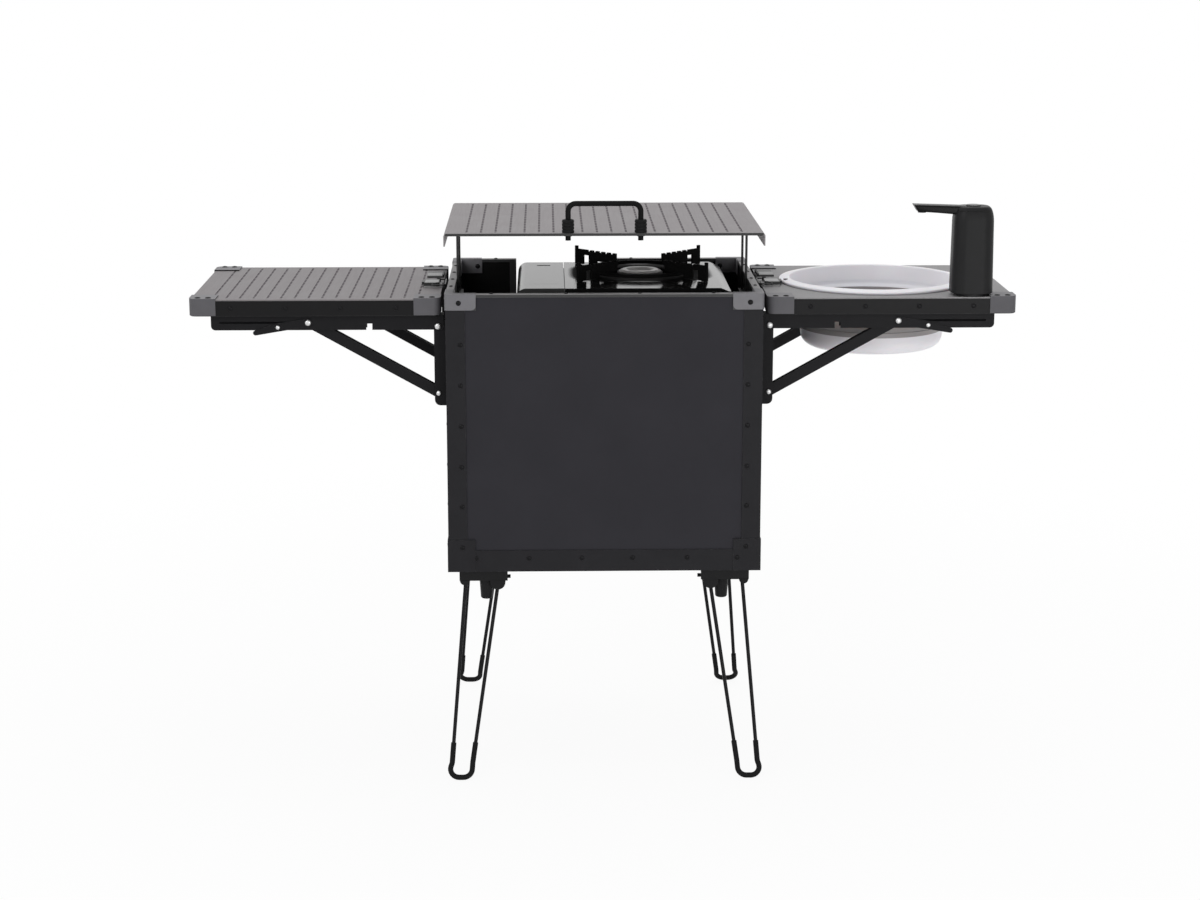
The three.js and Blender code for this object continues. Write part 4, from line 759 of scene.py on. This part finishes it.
steel = {"Metallic": 0.25, "Specular IOR Level": 0.25}
wire_finish = mottled("lid_wire_steel", steel, (0.004, 3, (1, 1, 0.1)), 0.014, 0.035, 0.22, 0.16)
WIRE_RADIUS = 0.002
WIRE_X = 0.234
WIRE_Y = 0.040
WIRE_FOOT = 0.7002
WIRE_TOP = 0.8707
WIRE_BEND = 0.010
for name, side in SIDES:
    hairpin = [
        (side * WIRE_X, -WIRE_Y, WIRE_FOOT),
        (side * WIRE_X, -WIRE_Y, WIRE_TOP, WIRE_BEND),
        (side * WIRE_X, WIRE_Y, WIRE_TOP, WIRE_BEND),
        (side * WIRE_X, WIRE_Y, WIRE_FOOT),
    ]
    mesh = rod(hairpin, WIRE_RADIUS, wire_finish)
    piece(f"lid_wire_{name}_bent", mesh, "lid", [f"lid_wire_{name}"])

# LID HANDLE
# A bent steel rod under a black sleeve, which drops through the bushes. A collar on each leg
# below the sheet stops it from pulling out.
sleeve_plastic = moulding("handle_sleeve", 0.001, 0.002, 0.45)
GRIP_Z = 0.9203
GRIP_BEND = 0.012
LOOP_FOOT = 0.863
GRIP_RADIUS = 0.0042
STOP_FOOT = 0.8697
STOP_TOP = 0.8727
STOP_RADIUS = 0.0065
loop = [
    (-BUSH_X, HANDLE_Y, LOOP_FOOT),
    (-BUSH_X, HANDLE_Y, GRIP_Z, GRIP_BEND),
    (BUSH_X, HANDLE_Y, GRIP_Z, GRIP_BEND),
    (BUSH_X, HANDLE_Y, LOOP_FOOT),
]
handle_rods = [rod(loop, GRIP_RADIUS, sleeve_plastic)]
for _, side in SIDES:
    ends = [(side * BUSH_X, HANDLE_Y, z) for z in (STOP_FOOT, STOP_TOP)]
    handle_rods.append(rod(ends, STOP_RADIUS, sleeve_plastic))
piece("lid_handle_bent", joined(*handle_rods), "handle", ["lid_handle"])

# SIDE TABLES
# Each table is a black C-channel frame with a sheet top and four grey corner caps. The left top
# is grooved like the lid, the right one is stippled grey and carries the sink and the tap.
left_sheet, left_links = grooved_sheet(
    "left_table_sheet",
    face_z=0.769, middle=-0.454, pitch=0.0215, count=16, reach=0.159, low=0.17, high=0.20,
)


LATCH_PLATE_X = 0.274
LATCH_PLATE_HALF = 0.0145
LATCH_PLATE_Z = 0.76925
RIDGE_Z = 0.77165
FAR_PLATE_Y = 0.075
FAR_PLATE_HALF = 0.0170


def latch_plates(finish, side, base):
    """Paints the latch base and the latch plate that are fixed on a table top, with their ridge and far
    edges painted near-black as shade.
    """
    x, y, z = finish.place()
    raised = (z > LATCH_PLATE_Z) * (abs(x - side * LATCH_PLATE_X) < LATCH_PLATE_HALF)
    shaded_ridge = raised * (z > RIDGE_Z)
    # The far edges of the plate are painted near-black: painted shade.
    far = raised * (abs(y - FAR_PLATE_Y) > FAR_PLATE_HALF) * (y > 0)
    toned = finish.mix(raised, base, grey(0.30))
    return finish.mix(shaded_ridge + far, toned, grey(0.012))


left_links["Base Color"] = latch_plates(left_sheet, -1, left_links["Base Color"])
dress(left_sheet.vary(left_links), "left_table_top")

stipple = Finish("right_table_stipple", {"Specular IOR Level": 0.45, "Metallic": 0.2})
dots = stipple.node("ShaderNodeTexVoronoi", {"Vector": stipple.where(), "Scale": 420.0}, feature="F1")
speck = stipple.soft(dots, 0.18, 0.55)
tone = stipple.mix(speck, grey(0.19, 1, 0.98, 1), grey(0.26, 1, 0.98, 1))
stipple_finish = stipple.vary({
    "Base Color": latch_plates(stipple, 1, tone),
    "Roughness": 0.52 + speck * 0.12,
    "Normal": stipple.bump(speck, 0.0002, 0.4),
})
dress(stipple_finish, "right_table_top")

TABLE_INNER = 0.257
TABLE_OUTER = 0.651
TABLE_MIDDLE = (TABLE_INNER + TABLE_OUTER) / 2
TABLE_HALF = (TABLE_OUTER - TABLE_INNER) / 2
FRAME_FACE = 0.1739
CAP_LENGTH = 0.042
CAP_EDGE_Y = 0.1335
CAP_FOOT = 0.74365
CAP_TOP = 0.7709
CHANNEL_DEPTH = 0.013
CHANNEL_BACK_Y = 0.1650
CHANNEL_LIP_Z = 0.7692
caps = Finish("table_frame_and_caps", {"Specular IOR Level": 0.16})
x, y, z = caps.place()
along = abs(abs(x) - TABLE_MIDDLE)
near_corner = (along > TABLE_HALF - CAP_LENGTH) * (abs(y) > CAP_EDGE_Y) * (z > CAP_FOOT)
within = (along < TABLE_HALF - CHANNEL_DEPTH) * (abs(y) < CHANNEL_BACK_Y) * (z < CHANNEL_LIP_Z)
capped = near_corner * (1 - within)
cloud = caps.grain(0.02, 3)
peel = caps.grain(0.0014)
black = caps.mix(cloud, grey(0.003, 1, 0.95, 1.1), grey(0.005, 1, 0.95, 1.1))
cast_side = caps.mix(cloud, grey(0.095, 1, 0.98, 1.06), grey(0.120, 1, 0.98, 1.06))
# The caps' top faces are painted lighter than their sides: painted light from above.
cast = caps.mix(z > CAP_TOP - 0.0002, cast_side, grey(0.20, 1, 0.98, 1.03))
# Lighter along the edges: a painted edge highlight.
painted_edge_highlight = caps.edge(0.0008) * 0.3
frame_finish = caps.vary({
    "Base Color": caps.mix(painted_edge_highlight, caps.mix(capped, black, cast), grey(0.22)),
    "Roughness": 0.36 + peel * 0.14 + capped * 0.1,
    "Normal": caps.bump(peel, 0.00010, 0.5),
})
dress(frame_finish, "left_table_frame", "right_table_frame")
FRAME_END = 0.6494
FRAME_RIVET_Z = 0.755
CAP_RIVET_Y = 0.1665
for name, side in SIDES:
    places = []
    cap_places = []
    spread = (0.327, 0.414, 0.500, 0.586) if side < 0 else (0.325, 0.412, 0.497, 0.583)
    for _, end in ENDS:
        for x in spread:
            places.append(((side * x, end * FRAME_FACE, FRAME_RIVET_Z), (0, end, 0)))
    for y in (-0.09, 0, 0.09):
        places.append(((side * FRAME_END, y, FRAME_RIVET_Z), (side, 0, 0)))
    for corner, inward in ((TABLE_INNER, 1), (TABLE_OUTER, -1)):
        for _, end in ENDS:
            for run in (0.0135, 0.0300):
                spot = (side * (corner + inward * run), end * CAP_RIVET_Y, CAP_TOP)
                cap_places.append((spot, (0, 0, 1)))
    rivets(f"{name}_cap_rivets", f"{name}_table", black_head, cap_places, 0.0048, 0.0018)
    rivets(f"{name}_table_rivets", f"{name}_table", black_head, places, 0.0040, 0.0015)

# BRACKETS
# Locking shelf brackets of pressed steel in satin black: a wall channel, an arm with a long
# slot, a brace, and a release lever. Bright zinc rivets are their pivots.


def arc(centre_r, centre_z, radius, start, stop, steps=6):
    """Points of a rounded corner in an outline, between two angles in degrees."""
    points = []
    for step in range(steps + 1):
        angle = math.radians(start + (stop - start) * step / steps)
        points.append((centre_r + radius * math.cos(angle), centre_z + radius * math.sin(angle)))
    return points


bracket_coat = black_coat("bracket_coat", 0.008, 0.012, 0.40, 0.5)
zinc_finish = mottled("zinc_rivet", {"Metallic": 0.85}, (0.001, 2), 0.55, 0.72, 0.3, 0.15)
BRACKET_Y = 0.150
PIVOT_X = 0.262
ARM_PIVOT_Z = 0.724
BRACE_PIVOT_Z = 0.616
WALL_X = 0.2473
CHEEK = 0.0100
SHEET = 0.0016
REACH_X = 0.2685
FOOT_Z = 0.596
HEAD_Z = 0.733
CORNER = 0.009
SHANK_RADIUS = 0.0030
PIN_X = 0.4662
PIN_Z = 0.7305
CATCH_X = 0.5137
CATCH_Z = 0.723
ARM_FACE = 0.0143
BRACE_FACE = 0.0115
PIVOTS = ((ARM_PIVOT_Z, ARM_FACE, 0.0128, 0.005), (BRACE_PIVOT_Z, BRACE_FACE, 0.0100, 0.0038))
cheek_outline = [(WALL_X, FOOT_Z)] + arc(REACH_X - CORNER, FOOT_Z + CORNER, CORNER, -90, 0)
cheek_outline += arc(REACH_X - CORNER, HEAD_Z - CORNER, CORNER, 0, 90) + [(WALL_X, HEAD_Z)]
for name, side in SIDES:
    pivots = []
    lower = []
    pins = []
    for end, way in ENDS:
        pair = f"{name}_{end}"
        dress(bracket_coat, f"arm_{pair}", f"brace_{pair}", f"release_lever_{pair}")
        middle = way * BRACKET_Y
        channel = bmesh.new()
        outline = [(side * x, z) for x, z in cheek_outline]
        for out in (-1, 1):
            plate(channel, outline, middle + out * (CHEEK - SHEET), middle + out * CHEEK)
        low_x, high_x = sorted((side * WALL_X, side * (WALL_X + SHEET)))
        inside = CHEEK - SHEET
        box_mesh(channel, (low_x, middle - inside, FOOT_Z), (high_x, middle + inside, HEAD_Z))
        shanks = []
        for z, reach, head_from, head in PIVOTS:
            ends = [(side * PIVOT_X, middle + out * reach, z) for out in (-1, 1)]
            shanks.append(rod(ends, SHANK_RADIUS, zinc_finish))
            for out in (-1, 1):
                ends = [(side * PIVOT_X, middle + out * distance, z) for distance in (head_from, reach)]
                shanks.append(rod(ends, head, zinc_finish))
        mesh = joined(finished_mesh(channel, bracket_coat), *shanks)
        piece(f"wall_bracket_{pair}_channel", mesh, "box", [f"wall_bracket_{pair}"])
        for out in (-1, 1):
            pivots.append(((side * PIVOT_X, middle + out * ARM_FACE, ARM_PIVOT_Z), (0, out, 0)))
            lower.append(((side * PIVOT_X, middle + out * BRACE_FACE, BRACE_PIVOT_Z), (0, out, 0)))
        pins.append(((side * PIN_X, middle + way * ARM_FACE, PIN_Z), (0, way, 0)))
        catch = [((side * CATCH_X, middle + way * ARM_FACE, CATCH_Z), (0, way, 0))]
        rivets(f"{pair}_release_rivet", f"{pair}_release", zinc_finish, catch, 0.0034, 0.0014)
    rivets(f"{name}_arm_pivots", "box", zinc_finish, pivots, 0.0052, 0.0022)
    rivets(f"{name}_brace_pivots", "box", zinc_finish, lower, 0.0042, 0.0020)
    rivets(f"{name}_brace_pins", f"{name}_braces", zinc_finish, pins, 0.0048, 0.0020)

# LATCHES
# A moulded lever on each table with a black wire bail that hooks the box and draws the table
# tight. Each lever has a tab for the fingers.
LATCH_Y = -0.032
BAIL_HALF = 0.030
BAIL_TURNED_IN = 0.0183
BAIL_Z = 0.7741
BAIL_BEND = 0.0035
BAIL_RADIUS = 0.00125
BAIL_PIVOT_X = 0.275
BAIL_HOOK_X = 0.254
LEVER_HALF_WIDTH = 0.0140
LEVER_TIP_X = 0.2870
lever_tone = Finish("latch_lever_grey")
x, y, _ = lever_tone.place()
# The lever's sides and tip are painted near-black: painted shade.
outer = (abs(y - LATCH_Y) > LEVER_HALF_WIDTH) + (abs(x) > LEVER_TIP_X)
shaded_rails = lever_tone.soft(outer, 0.4, 0.6)
lever_finish = lever_tone.vary({
    "Base Color": lever_tone.mix(shaded_rails, grey(0.28), grey(0.012)),
    "Roughness": 0.34 + lever_tone.grain(0.001) * 0.15,
})
bail_finish = mottled("bail_wire", {"Metallic": 0.6}, (0.003, 2), 0.016, 0.03, 0.3, 0.15)
for name, side in SIDES:
    dress(lever_finish, f"{name}_latch_lever")
    pivot_x = side * BAIL_PIVOT_X
    hook_x = side * BAIL_HOOK_X
    stops = [
        (pivot_x, LATCH_Y - BAIL_TURNED_IN, BAIL_Z),
        (pivot_x, LATCH_Y - BAIL_HALF, BAIL_Z, BAIL_BEND),
        (hook_x, LATCH_Y - BAIL_HALF, BAIL_Z, BAIL_BEND),
        (hook_x, LATCH_Y + BAIL_HALF, BAIL_Z, BAIL_BEND),
        (pivot_x, LATCH_Y + BAIL_HALF, BAIL_Z, BAIL_BEND),
        (pivot_x, LATCH_Y + BAIL_TURNED_IN, BAIL_Z),
    ]
    mesh = rod(stops, BAIL_RADIUS, bail_finish)
    piece(f"{name}_bail_bent", mesh, f"{name}_bail", [f"{name}_latch_bail"])

# SINK
# A collapsible bowl: a white moulded rim that hangs in the table's hole, a pleated grey
# silicone collar, and a white pan. The pan pushes up as the collar folds.
SINK = (0.445, 0.0)
SILICONE = grey(0.30, 1.03, 0.97, 0.97)


def white_moulding(name, low, high, sleeve=1.0):
    """White polypropylene, faintly lilac. Silicone is moulded over it above the sleeve's height."""
    satin = {"Specular IOR Level": 0.45, "Subsurface Weight": 0.08, "Subsurface Scale": 0.004}
    plastic = Finish(name, satin)
    _, _, z = plastic.place()
    cloud = plastic.grain(0.05)
    fine = plastic.grain(0.0015)
    bare = plastic.mix(cloud, grey(low, 1, 0.985, 1.03), grey(high, 1, 0.985, 1.03))
    return plastic.vary({
        "Base Color": plastic.mix(plastic.soft(z, sleeve, sleeve + 0.0006), bare, SILICONE),
        "Roughness": 0.32 + fine * 0.1,
        "Normal": plastic.bump(fine, 0.00005, 0.3),
    })


COLLAR_RADIUS = 0.1303
COLLAR_Z = 0.7470
SKIRT_Z = 0.7402
white = white_moulding("sink_white", 0.80, 0.86)
rim_profile = [(0.1330, COLLAR_Z), (0.1380, 0.7680), (0.1392, 0.7693), (0.1515, 0.7693)]
rim_profile += arc(0.1510, 0.7717, 0.0020, -60, 90, 8)
rim_profile += [(0.1405, 0.7761)] + arc(0.1385, 0.7731, 0.0030, 90, 168, 6)
rim_profile += [(0.1306, COLLAR_Z)]
piece("sink_rim_ring", spun(rim_profile, SINK, 96, white, 32), "bowl", ["bowl_rim"])
HANG_HOLE = (0.3005, -0.020)
hole_profile = [(0.0, 0.7751), (0.0038, 0.7751), (0.0040, 0.7758), (0.0, 0.7758)]
hole_dark = moulding("hang_hole_shadow", 0.05, 0.07, 0.6)
piece("sink_hang_hole", spun(hole_profile, HANG_HOLE, 20, hole_dark), "bowl")

silicone = Finish("collar_silicone", {"Specular IOR Level": 0.35, "Subsurface Weight": 0.05})
dust = silicone.grain(0.004, 3)
_, _, z = silicone.place()
skirt = silicone.soft(z, SKIRT_Z, SKIRT_Z + 0.0006)
pleats = silicone.mix(dust, grey(0.27, 1.03, 0.97, 0.97), grey(0.33, 1.03, 0.97, 0.97))
collar_finish = silicone.vary({
    "Base Color": silicone.mix(skirt, pleats, grey(0.80, 1, 0.985, 1.03)),
    "Roughness": 0.55 + dust * 0.15,
})
PLEATS = 3
PLEAT_STEPS = 24
PLEAT_DEPTH = 0.0019
COLLAR_TAPER = 0.0135
COLLAR_DROP = 0.0393
COLLAR_WALL = 0.0016
outside = []
for step in range(PLEAT_STEPS + 1):
    share = step / PLEAT_STEPS
    fold = PLEAT_DEPTH * (1 - math.cos(2 * math.pi * PLEATS * share)) * (1 - 0.6 * share)
    outside.append((COLLAR_RADIUS - COLLAR_TAPER * share - fold, COLLAR_Z - COLLAR_DROP * share))
skin = [(COLLAR_RADIUS, 0.7520)] + outside + [(0.1168, 0.7020)]
inside = [(radius - COLLAR_WALL, height) for radius, height in skin]
collar = spun(list(reversed(skin)) + inside, SINK, 96, collar_finish, 60)
collar_piece = piece("sink_collar_pleated", collar, "bowl", ["bowl_collar"])
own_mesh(collar_piece)

pan_white = white_moulding("pan_white", 0.82, 0.88, 0.6930)
pan_profile = [(0.0, 0.6637)] + arc(0.0948, 0.6857, 0.0220, -90, 0, 10)
pan_profile += [(0.1168, 0.7009), (0.1160, 0.7017), (0.1149, 0.7017), (0.1149, 0.7070), (0.1142, 0.7077)]
pan_profile += [(0.1130, 0.7077), (0.1123, 0.7070), (0.1123, 0.6991)]
pan_profile += list(reversed(arc(0.0948, 0.6857, 0.0194, -90, -20, 8)))
pan_profile += [(0.0, 0.6663)]
pan = spun(pan_profile, SINK, 96, pan_white, 32)
piece("sink_pan_moulded", pan, "pan", ["bowl_pan"])

# TAP
# A battery tap in satin black plastic. Its body swivels on a ring that is screwed through the
# table, with a flat gloss spout, and a push button in its cap.
TAP = (0.582, -0.147)
tap_plastic = moulding("tap_plastic", 0.014, 0.018, 0.34, 0.00006)
dress(tap_plastic, "tap_base")


def rounded_plan(half_x, half_y, corner, steps=10):
    """The points of a rectangle with round corners, anticlockwise, about zero."""
    points = []
    for quarter, (side, end) in enumerate(((1, 1), (-1, 1), (-1, -1), (1, -1))):
        for step in range(steps + 1):
            angle = math.pi / 2 * (quarter + step / steps)
            x = side * (half_x - corner) + corner * math.cos(angle)
            points.append((x, end * (half_y - corner) + corner * math.sin(angle)))
    return points


def stack(rings, material):
    """The finished mesh of rings of points that lie above one another, closed at both ends."""
    bm = bmesh.new()
    made = [[bm.verts.new(point) for point in ring] for ring in rings]
    for ring, above in zip(made, made[1:]):
        for step in range(len(ring)):
            after = (step + 1) % len(ring)
            bm.faces.new((ring[step], ring[after], above[after], above[step]))
    bm.faces.new(list(reversed(made[0])))
    bm.faces.new(made[-1])
    return finished_mesh(bm, material, 38)


TAP_FOOT = 0.7736
TAP_TOP = 0.910
TAP_HALF_X = 0.033
TAP_HALF_Y = 0.028
TAP_CORNER = 0.020
TAP_TAPER = 0.05
TAP_CROWN = 0.24
SHOULDER = 0.024
tap_height = TAP_TOP - TAP_FOOT


def tap_share(level):
    """How much of its foot's width the tap keeps at a level: a slight taper, then the shoulder."""
    into = max(0, level - (tap_height - SHOULDER)) / SHOULDER
    return 1 - TAP_TAPER * level / tap_height - TAP_CROWN * (1 - math.sqrt(1 - into * into))


levels = [(0.0, 0.0008), (0.0008, 0.0), (0.030, 0.0), (0.062, 0.0), (0.094, 0.0)]
levels += [(tap_height - SHOULDER * (1 - math.sin(math.pi / 2 * step / 8)), 0.0) for step in range(9)]
CAP_DEPTH = 0.0062
seam = tap_height - CAP_DEPTH
levels += [(seam - 0.0004, 0.0), (seam - 0.0003, 0.0005), (seam + 0.0003, 0.0005), (seam + 0.0004, 0.0)]
rings = []
for level, inset in sorted(levels):
    share = tap_share(level)
    plan = rounded_plan(*(reach * share - inset for reach in (TAP_HALF_X, TAP_HALF_Y, TAP_CORNER)))
    rings.append([(TAP[0] + x, TAP[1] + y, TAP_FOOT + level) for x, y in plan])
for radius, height in ((0.0128, TAP_TOP), (0.0122, TAP_TOP - 0.0006), (0.0118, TAP_TOP - CAP_DEPTH)):
    ring = []
    for x, y in rounded_plan(0.030, 0.026, 0.018):
        reach = radius / math.hypot(x, y)
        ring.append((TAP[0] + x * reach, TAP[1] + y * reach, height))
    rings.append(ring)
tip_x = TAP[0] - 0.095
spout_gloss = moulding("spout_gloss", 0.002, 0.003, 0.24, 0.00003)
spout_rings = []
spout_levels = (
    (tip_x, 0.9122, 0.9130, 0.0120),
    (tip_x + 0.0008, 0.9110, 0.91298, 0.0127),
    (tip_x + 0.0060, 0.9024, 0.9128, 0.0130),
    (tip_x + 0.040, 0.9000, 0.9118, 0.0130),
    (tip_x + 0.064, 0.8979, 0.9110, 0.0130),
    (tip_x + 0.080, 0.8960, 0.9105, 0.0128),
    (tip_x + 0.0832, 0.8990, 0.9103, 0.0118),
)
for x, foot, top, half in spout_levels:
    middle = (foot + top) / 2
    plan = rounded_plan(half, (top - foot) / 2, min(0.0022, (top - foot) / 2.2), 4)
    spout_rings.append([(x, TAP[1] + across, middle + up) for across, up in plan])
nozzle_profile = [(0.0, 0.9010), (0.0048, 0.9010), (0.0052, 0.9000)]
nozzle_profile += [(0.0066, 0.9000), (0.0068, 0.9030), (0.0, 0.9030)]
nozzle = spun(nozzle_profile, (tip_x + 0.014, TAP[1]), 24, spout_gloss, 38)
tap_mesh = joined(stack(rings, tap_plastic), stack(spout_rings, spout_gloss), nozzle)
piece("tap_body_moulded", tap_mesh, "tap", ["tap_body"])
dress(mottled("button_grey", None, (0.0012, 2), 0.045, 0.055, 0.28, 0.1), "tap_button")

# LEGS
# Four hairpin legs of black steel rod that hinge in moulded mounts below the box. A rubber
# sleeve covers the lower end of each and is its foot.
mount_plastic = moulding("mount_plastic", 0.010, 0.014, 0.40)
leg_coat = black_coat("leg_rod_coat", 0.006, 0.009, 0.26, 0.5)
foot_rubber = moulding("foot_rubber", 0.008, 0.011, 0.62, 0.00012)
HINGE_Y = 0.175
HINGE_Z = 0.318
KNEE_Z = 0.024
SLEEVE_Z = 0.056
LEG_RADIUS = 0.003
SLEEVE_RADIUS = 0.0043
HINGE = ((0.222, HINGE_Y, HINGE_Z, 0.004), (0.169, HINGE_Y, HINGE_Z, 0.004))
KNEE = ((0.246, 0.237, KNEE_Z, 0.012), (0.213, 0.237, KNEE_Z, 0.012))
FOOT = ((0.254, 0.251, 0.0045, 0.014), (0.2145, 0.251, 0.0045, 0.014))
share = (SLEEVE_Z - KNEE_Z) / (HINGE_Z - KNEE_Z)
sleeve_ends = []
for knee, hinge in zip(KNEE, HINGE):
    sleeve_ends.append(tuple(k + share * (h - k) for k, h in zip(knee[:3], hinge[:3])))
PIN = ((0.230, HINGE_Y, HINGE_Z), (0.1505, HINGE_Y, HINGE_Z))
rod_stops = [PIN[0], HINGE[0], KNEE[0], FOOT[0], FOOT[1], KNEE[1], HINGE[1], PIN[1]]
PEG_X = 0.189
PEG = ((0.0, 0.316), (0.0116, 0.316), (0.0096, 0.2845), (0.0082, 0.2828), (0.0, 0.2828))
sleeve_stops = [sleeve_ends[0], KNEE[0], FOOT[0], FOOT[1], KNEE[1], sleeve_ends[1]]
MOUNT_FACE = 0.194
HOOD_TOP = 0.3165
HOOD_SHEET = 0.002
EAR = (0.2163, 0.2313, 0.3085)
LOBE = (0.1585, 0.1830, 0.3010)
for name, side in SIDES:
    for end, way in ENDS:
        dress(mount_plastic, f"leg_mount_{name}_{end}")
        hoods = bmesh.new()
        for inner, outer, foot in (EAR, LOBE):
            middle = (inner + outer) / 2
            half = (outer - inner) / 2
            outline = [(inner, HOOD_TOP), *arc(middle, foot + half, half, 180, 360, 10), (outer, HOOD_TOP)]
            hood = [(side * x, z) for x, z in outline]
            plate(hoods, hood, way * (MOUNT_FACE - HOOD_SHEET), way * MOUNT_FACE)
        turned(hoods, PEG, (side * PEG_X, way * HINGE_Y), 24)
        piece(f"leg_mount_{name}_{end}_hoods", finished_mesh(hoods, mount_plastic), "box")
        there = [(side * stop[0], way * stop[1], *stop[2:]) for stop in rod_stops]
        covered = [(side * stop[0], way * stop[1], *stop[2:]) for stop in sleeve_stops]
        leg = joined(rod(there, LEG_RADIUS, leg_coat), rod(covered, SLEEVE_RADIUS, foot_rubber))
        piece(f"leg_{name}_{end}_bent", leg, f"{name}_{end}_leg", [f"leg_{name}_{end}"])

# THE ROOM
# A pale floor that fades to white, a white surround, three soft boxes and the camera at the
# photograph's viewing angle.
FLOOR_HALF = 14
FADE = (0.5, 2.2)
FLOOR_CORNERS = ((-1, -1), (1, -1), (1, 1), (-1, 1))
floor_mesh = bpy.data.meshes.new("floor")
floor_points = [(FLOOR_HALF * x, FLOOR_HALF * y, 0) for x, y in FLOOR_CORNERS]
floor_mesh.from_pydata(floor_points, [], [(0, 1, 2, 3)])
ground = Finish("pale_floor", {"Base Color": grey(0.86), "Roughness": 0.9, "Specular IOR Level": 0.1})
x, y, _ = ground.place()
away = ground.soft((x * x + y * y).root(), *FADE)
rays = ground.node("ShaderNodeLightPath", output="Is Camera Ray")
seen = rays.most(rays.twin("Is Glossy Ray")).most(rays.twin("Is Transmission Ray"))
glow = ground.node("ShaderNodeEmission", {"Color": grey(1), "Strength": 1.0})
share_white = seen * (0.92 + 0.08 * away)
blend = ground.node("ShaderNodeMixShader", {0: share_white, 2: glow})
ground.tree.links.new(ground.shader.outputs[0], blend.socket.node.inputs[1])
output = ground.tree.nodes["Material Output"]
ground.tree.links.new(blend.socket, output.inputs["Surface"])
floor_mesh.materials.append(ground.material)
floor = placed("floor", floor_mesh)

world = bpy.data.worlds.new("room")
bpy.context.scene.world = world
world.use_nodes = True
room = world.node_tree
room_node = node_maker(room)
path = room_node("ShaderNodeLightPath")
direction = room_node("ShaderNodeTexCoord")
split = room_node("ShaderNodeSeparateXYZ", {0: direction["Generated"]})
fade = {"Value": split["Y"], "From Min": -0.8, "From Max": 0.8, "To Min": 0.36, "To Max": 1.0}
strength = room_node("ShaderNodeMapRange", fade, interpolation_type="SMOOTHSTEP")[0]
for kind in ("Is Camera Ray", "Is Glossy Ray", "Is Transmission Ray"):
    strength = room_node("ShaderNodeMath", {0: strength, 1: path[kind]}, operation="MAXIMUM")[0]
background = room.nodes["Background"]
room.links.new(strength, background.inputs["Strength"])
background.inputs["Color"].default_value = grey(1)


def aim(thing, place, way):
    """Stands a lamp or camera at `place`, facing along `way`."""
    turn = way.to_track_quat("-Z", "Y").to_matrix().to_4x4()
    thing.matrix_world = Matrix.Translation(place) @ turn


def soft_box(name, place, target, width, power):
    """A square lamp at `place` that faces `target`."""
    light = bpy.data.lights.new(name, "AREA")
    light.size = width
    light.energy = power
    aim(placed(name, light), place, Vector(target) - Vector(place))


soft_box("front_left_box", (-2.2, -3.6, 2.6), (0, 0, 0.55), 2.0, 45)
soft_box("front_low_box", (1.4, -3.4, 0.35), (0.35, 0, 0.68), 1.6, 34)
soft_box("top_box", (0.3, 0.2, 3.6), (0, 0, 0.7), 2.4, 25)

PITCH = math.radians(12.724)
YAW = math.radians(1.316)
VIEWPOINT = (-0.0922, -3.9013, 1.3670)
camera_data = bpy.data.cameras.new("camera")
camera_data.lens = 72
camera_data.sensor_width = 36
camera = placed("camera", camera_data)
look = Vector((math.sin(YAW) * math.cos(PITCH), math.cos(YAW) * math.cos(PITCH), -math.sin(PITCH)))
aim(camera, VIEWPOINT, look)
bpy.context.scene.camera = camera
bpy.context.scene.view_settings.view_transform = "Standard"
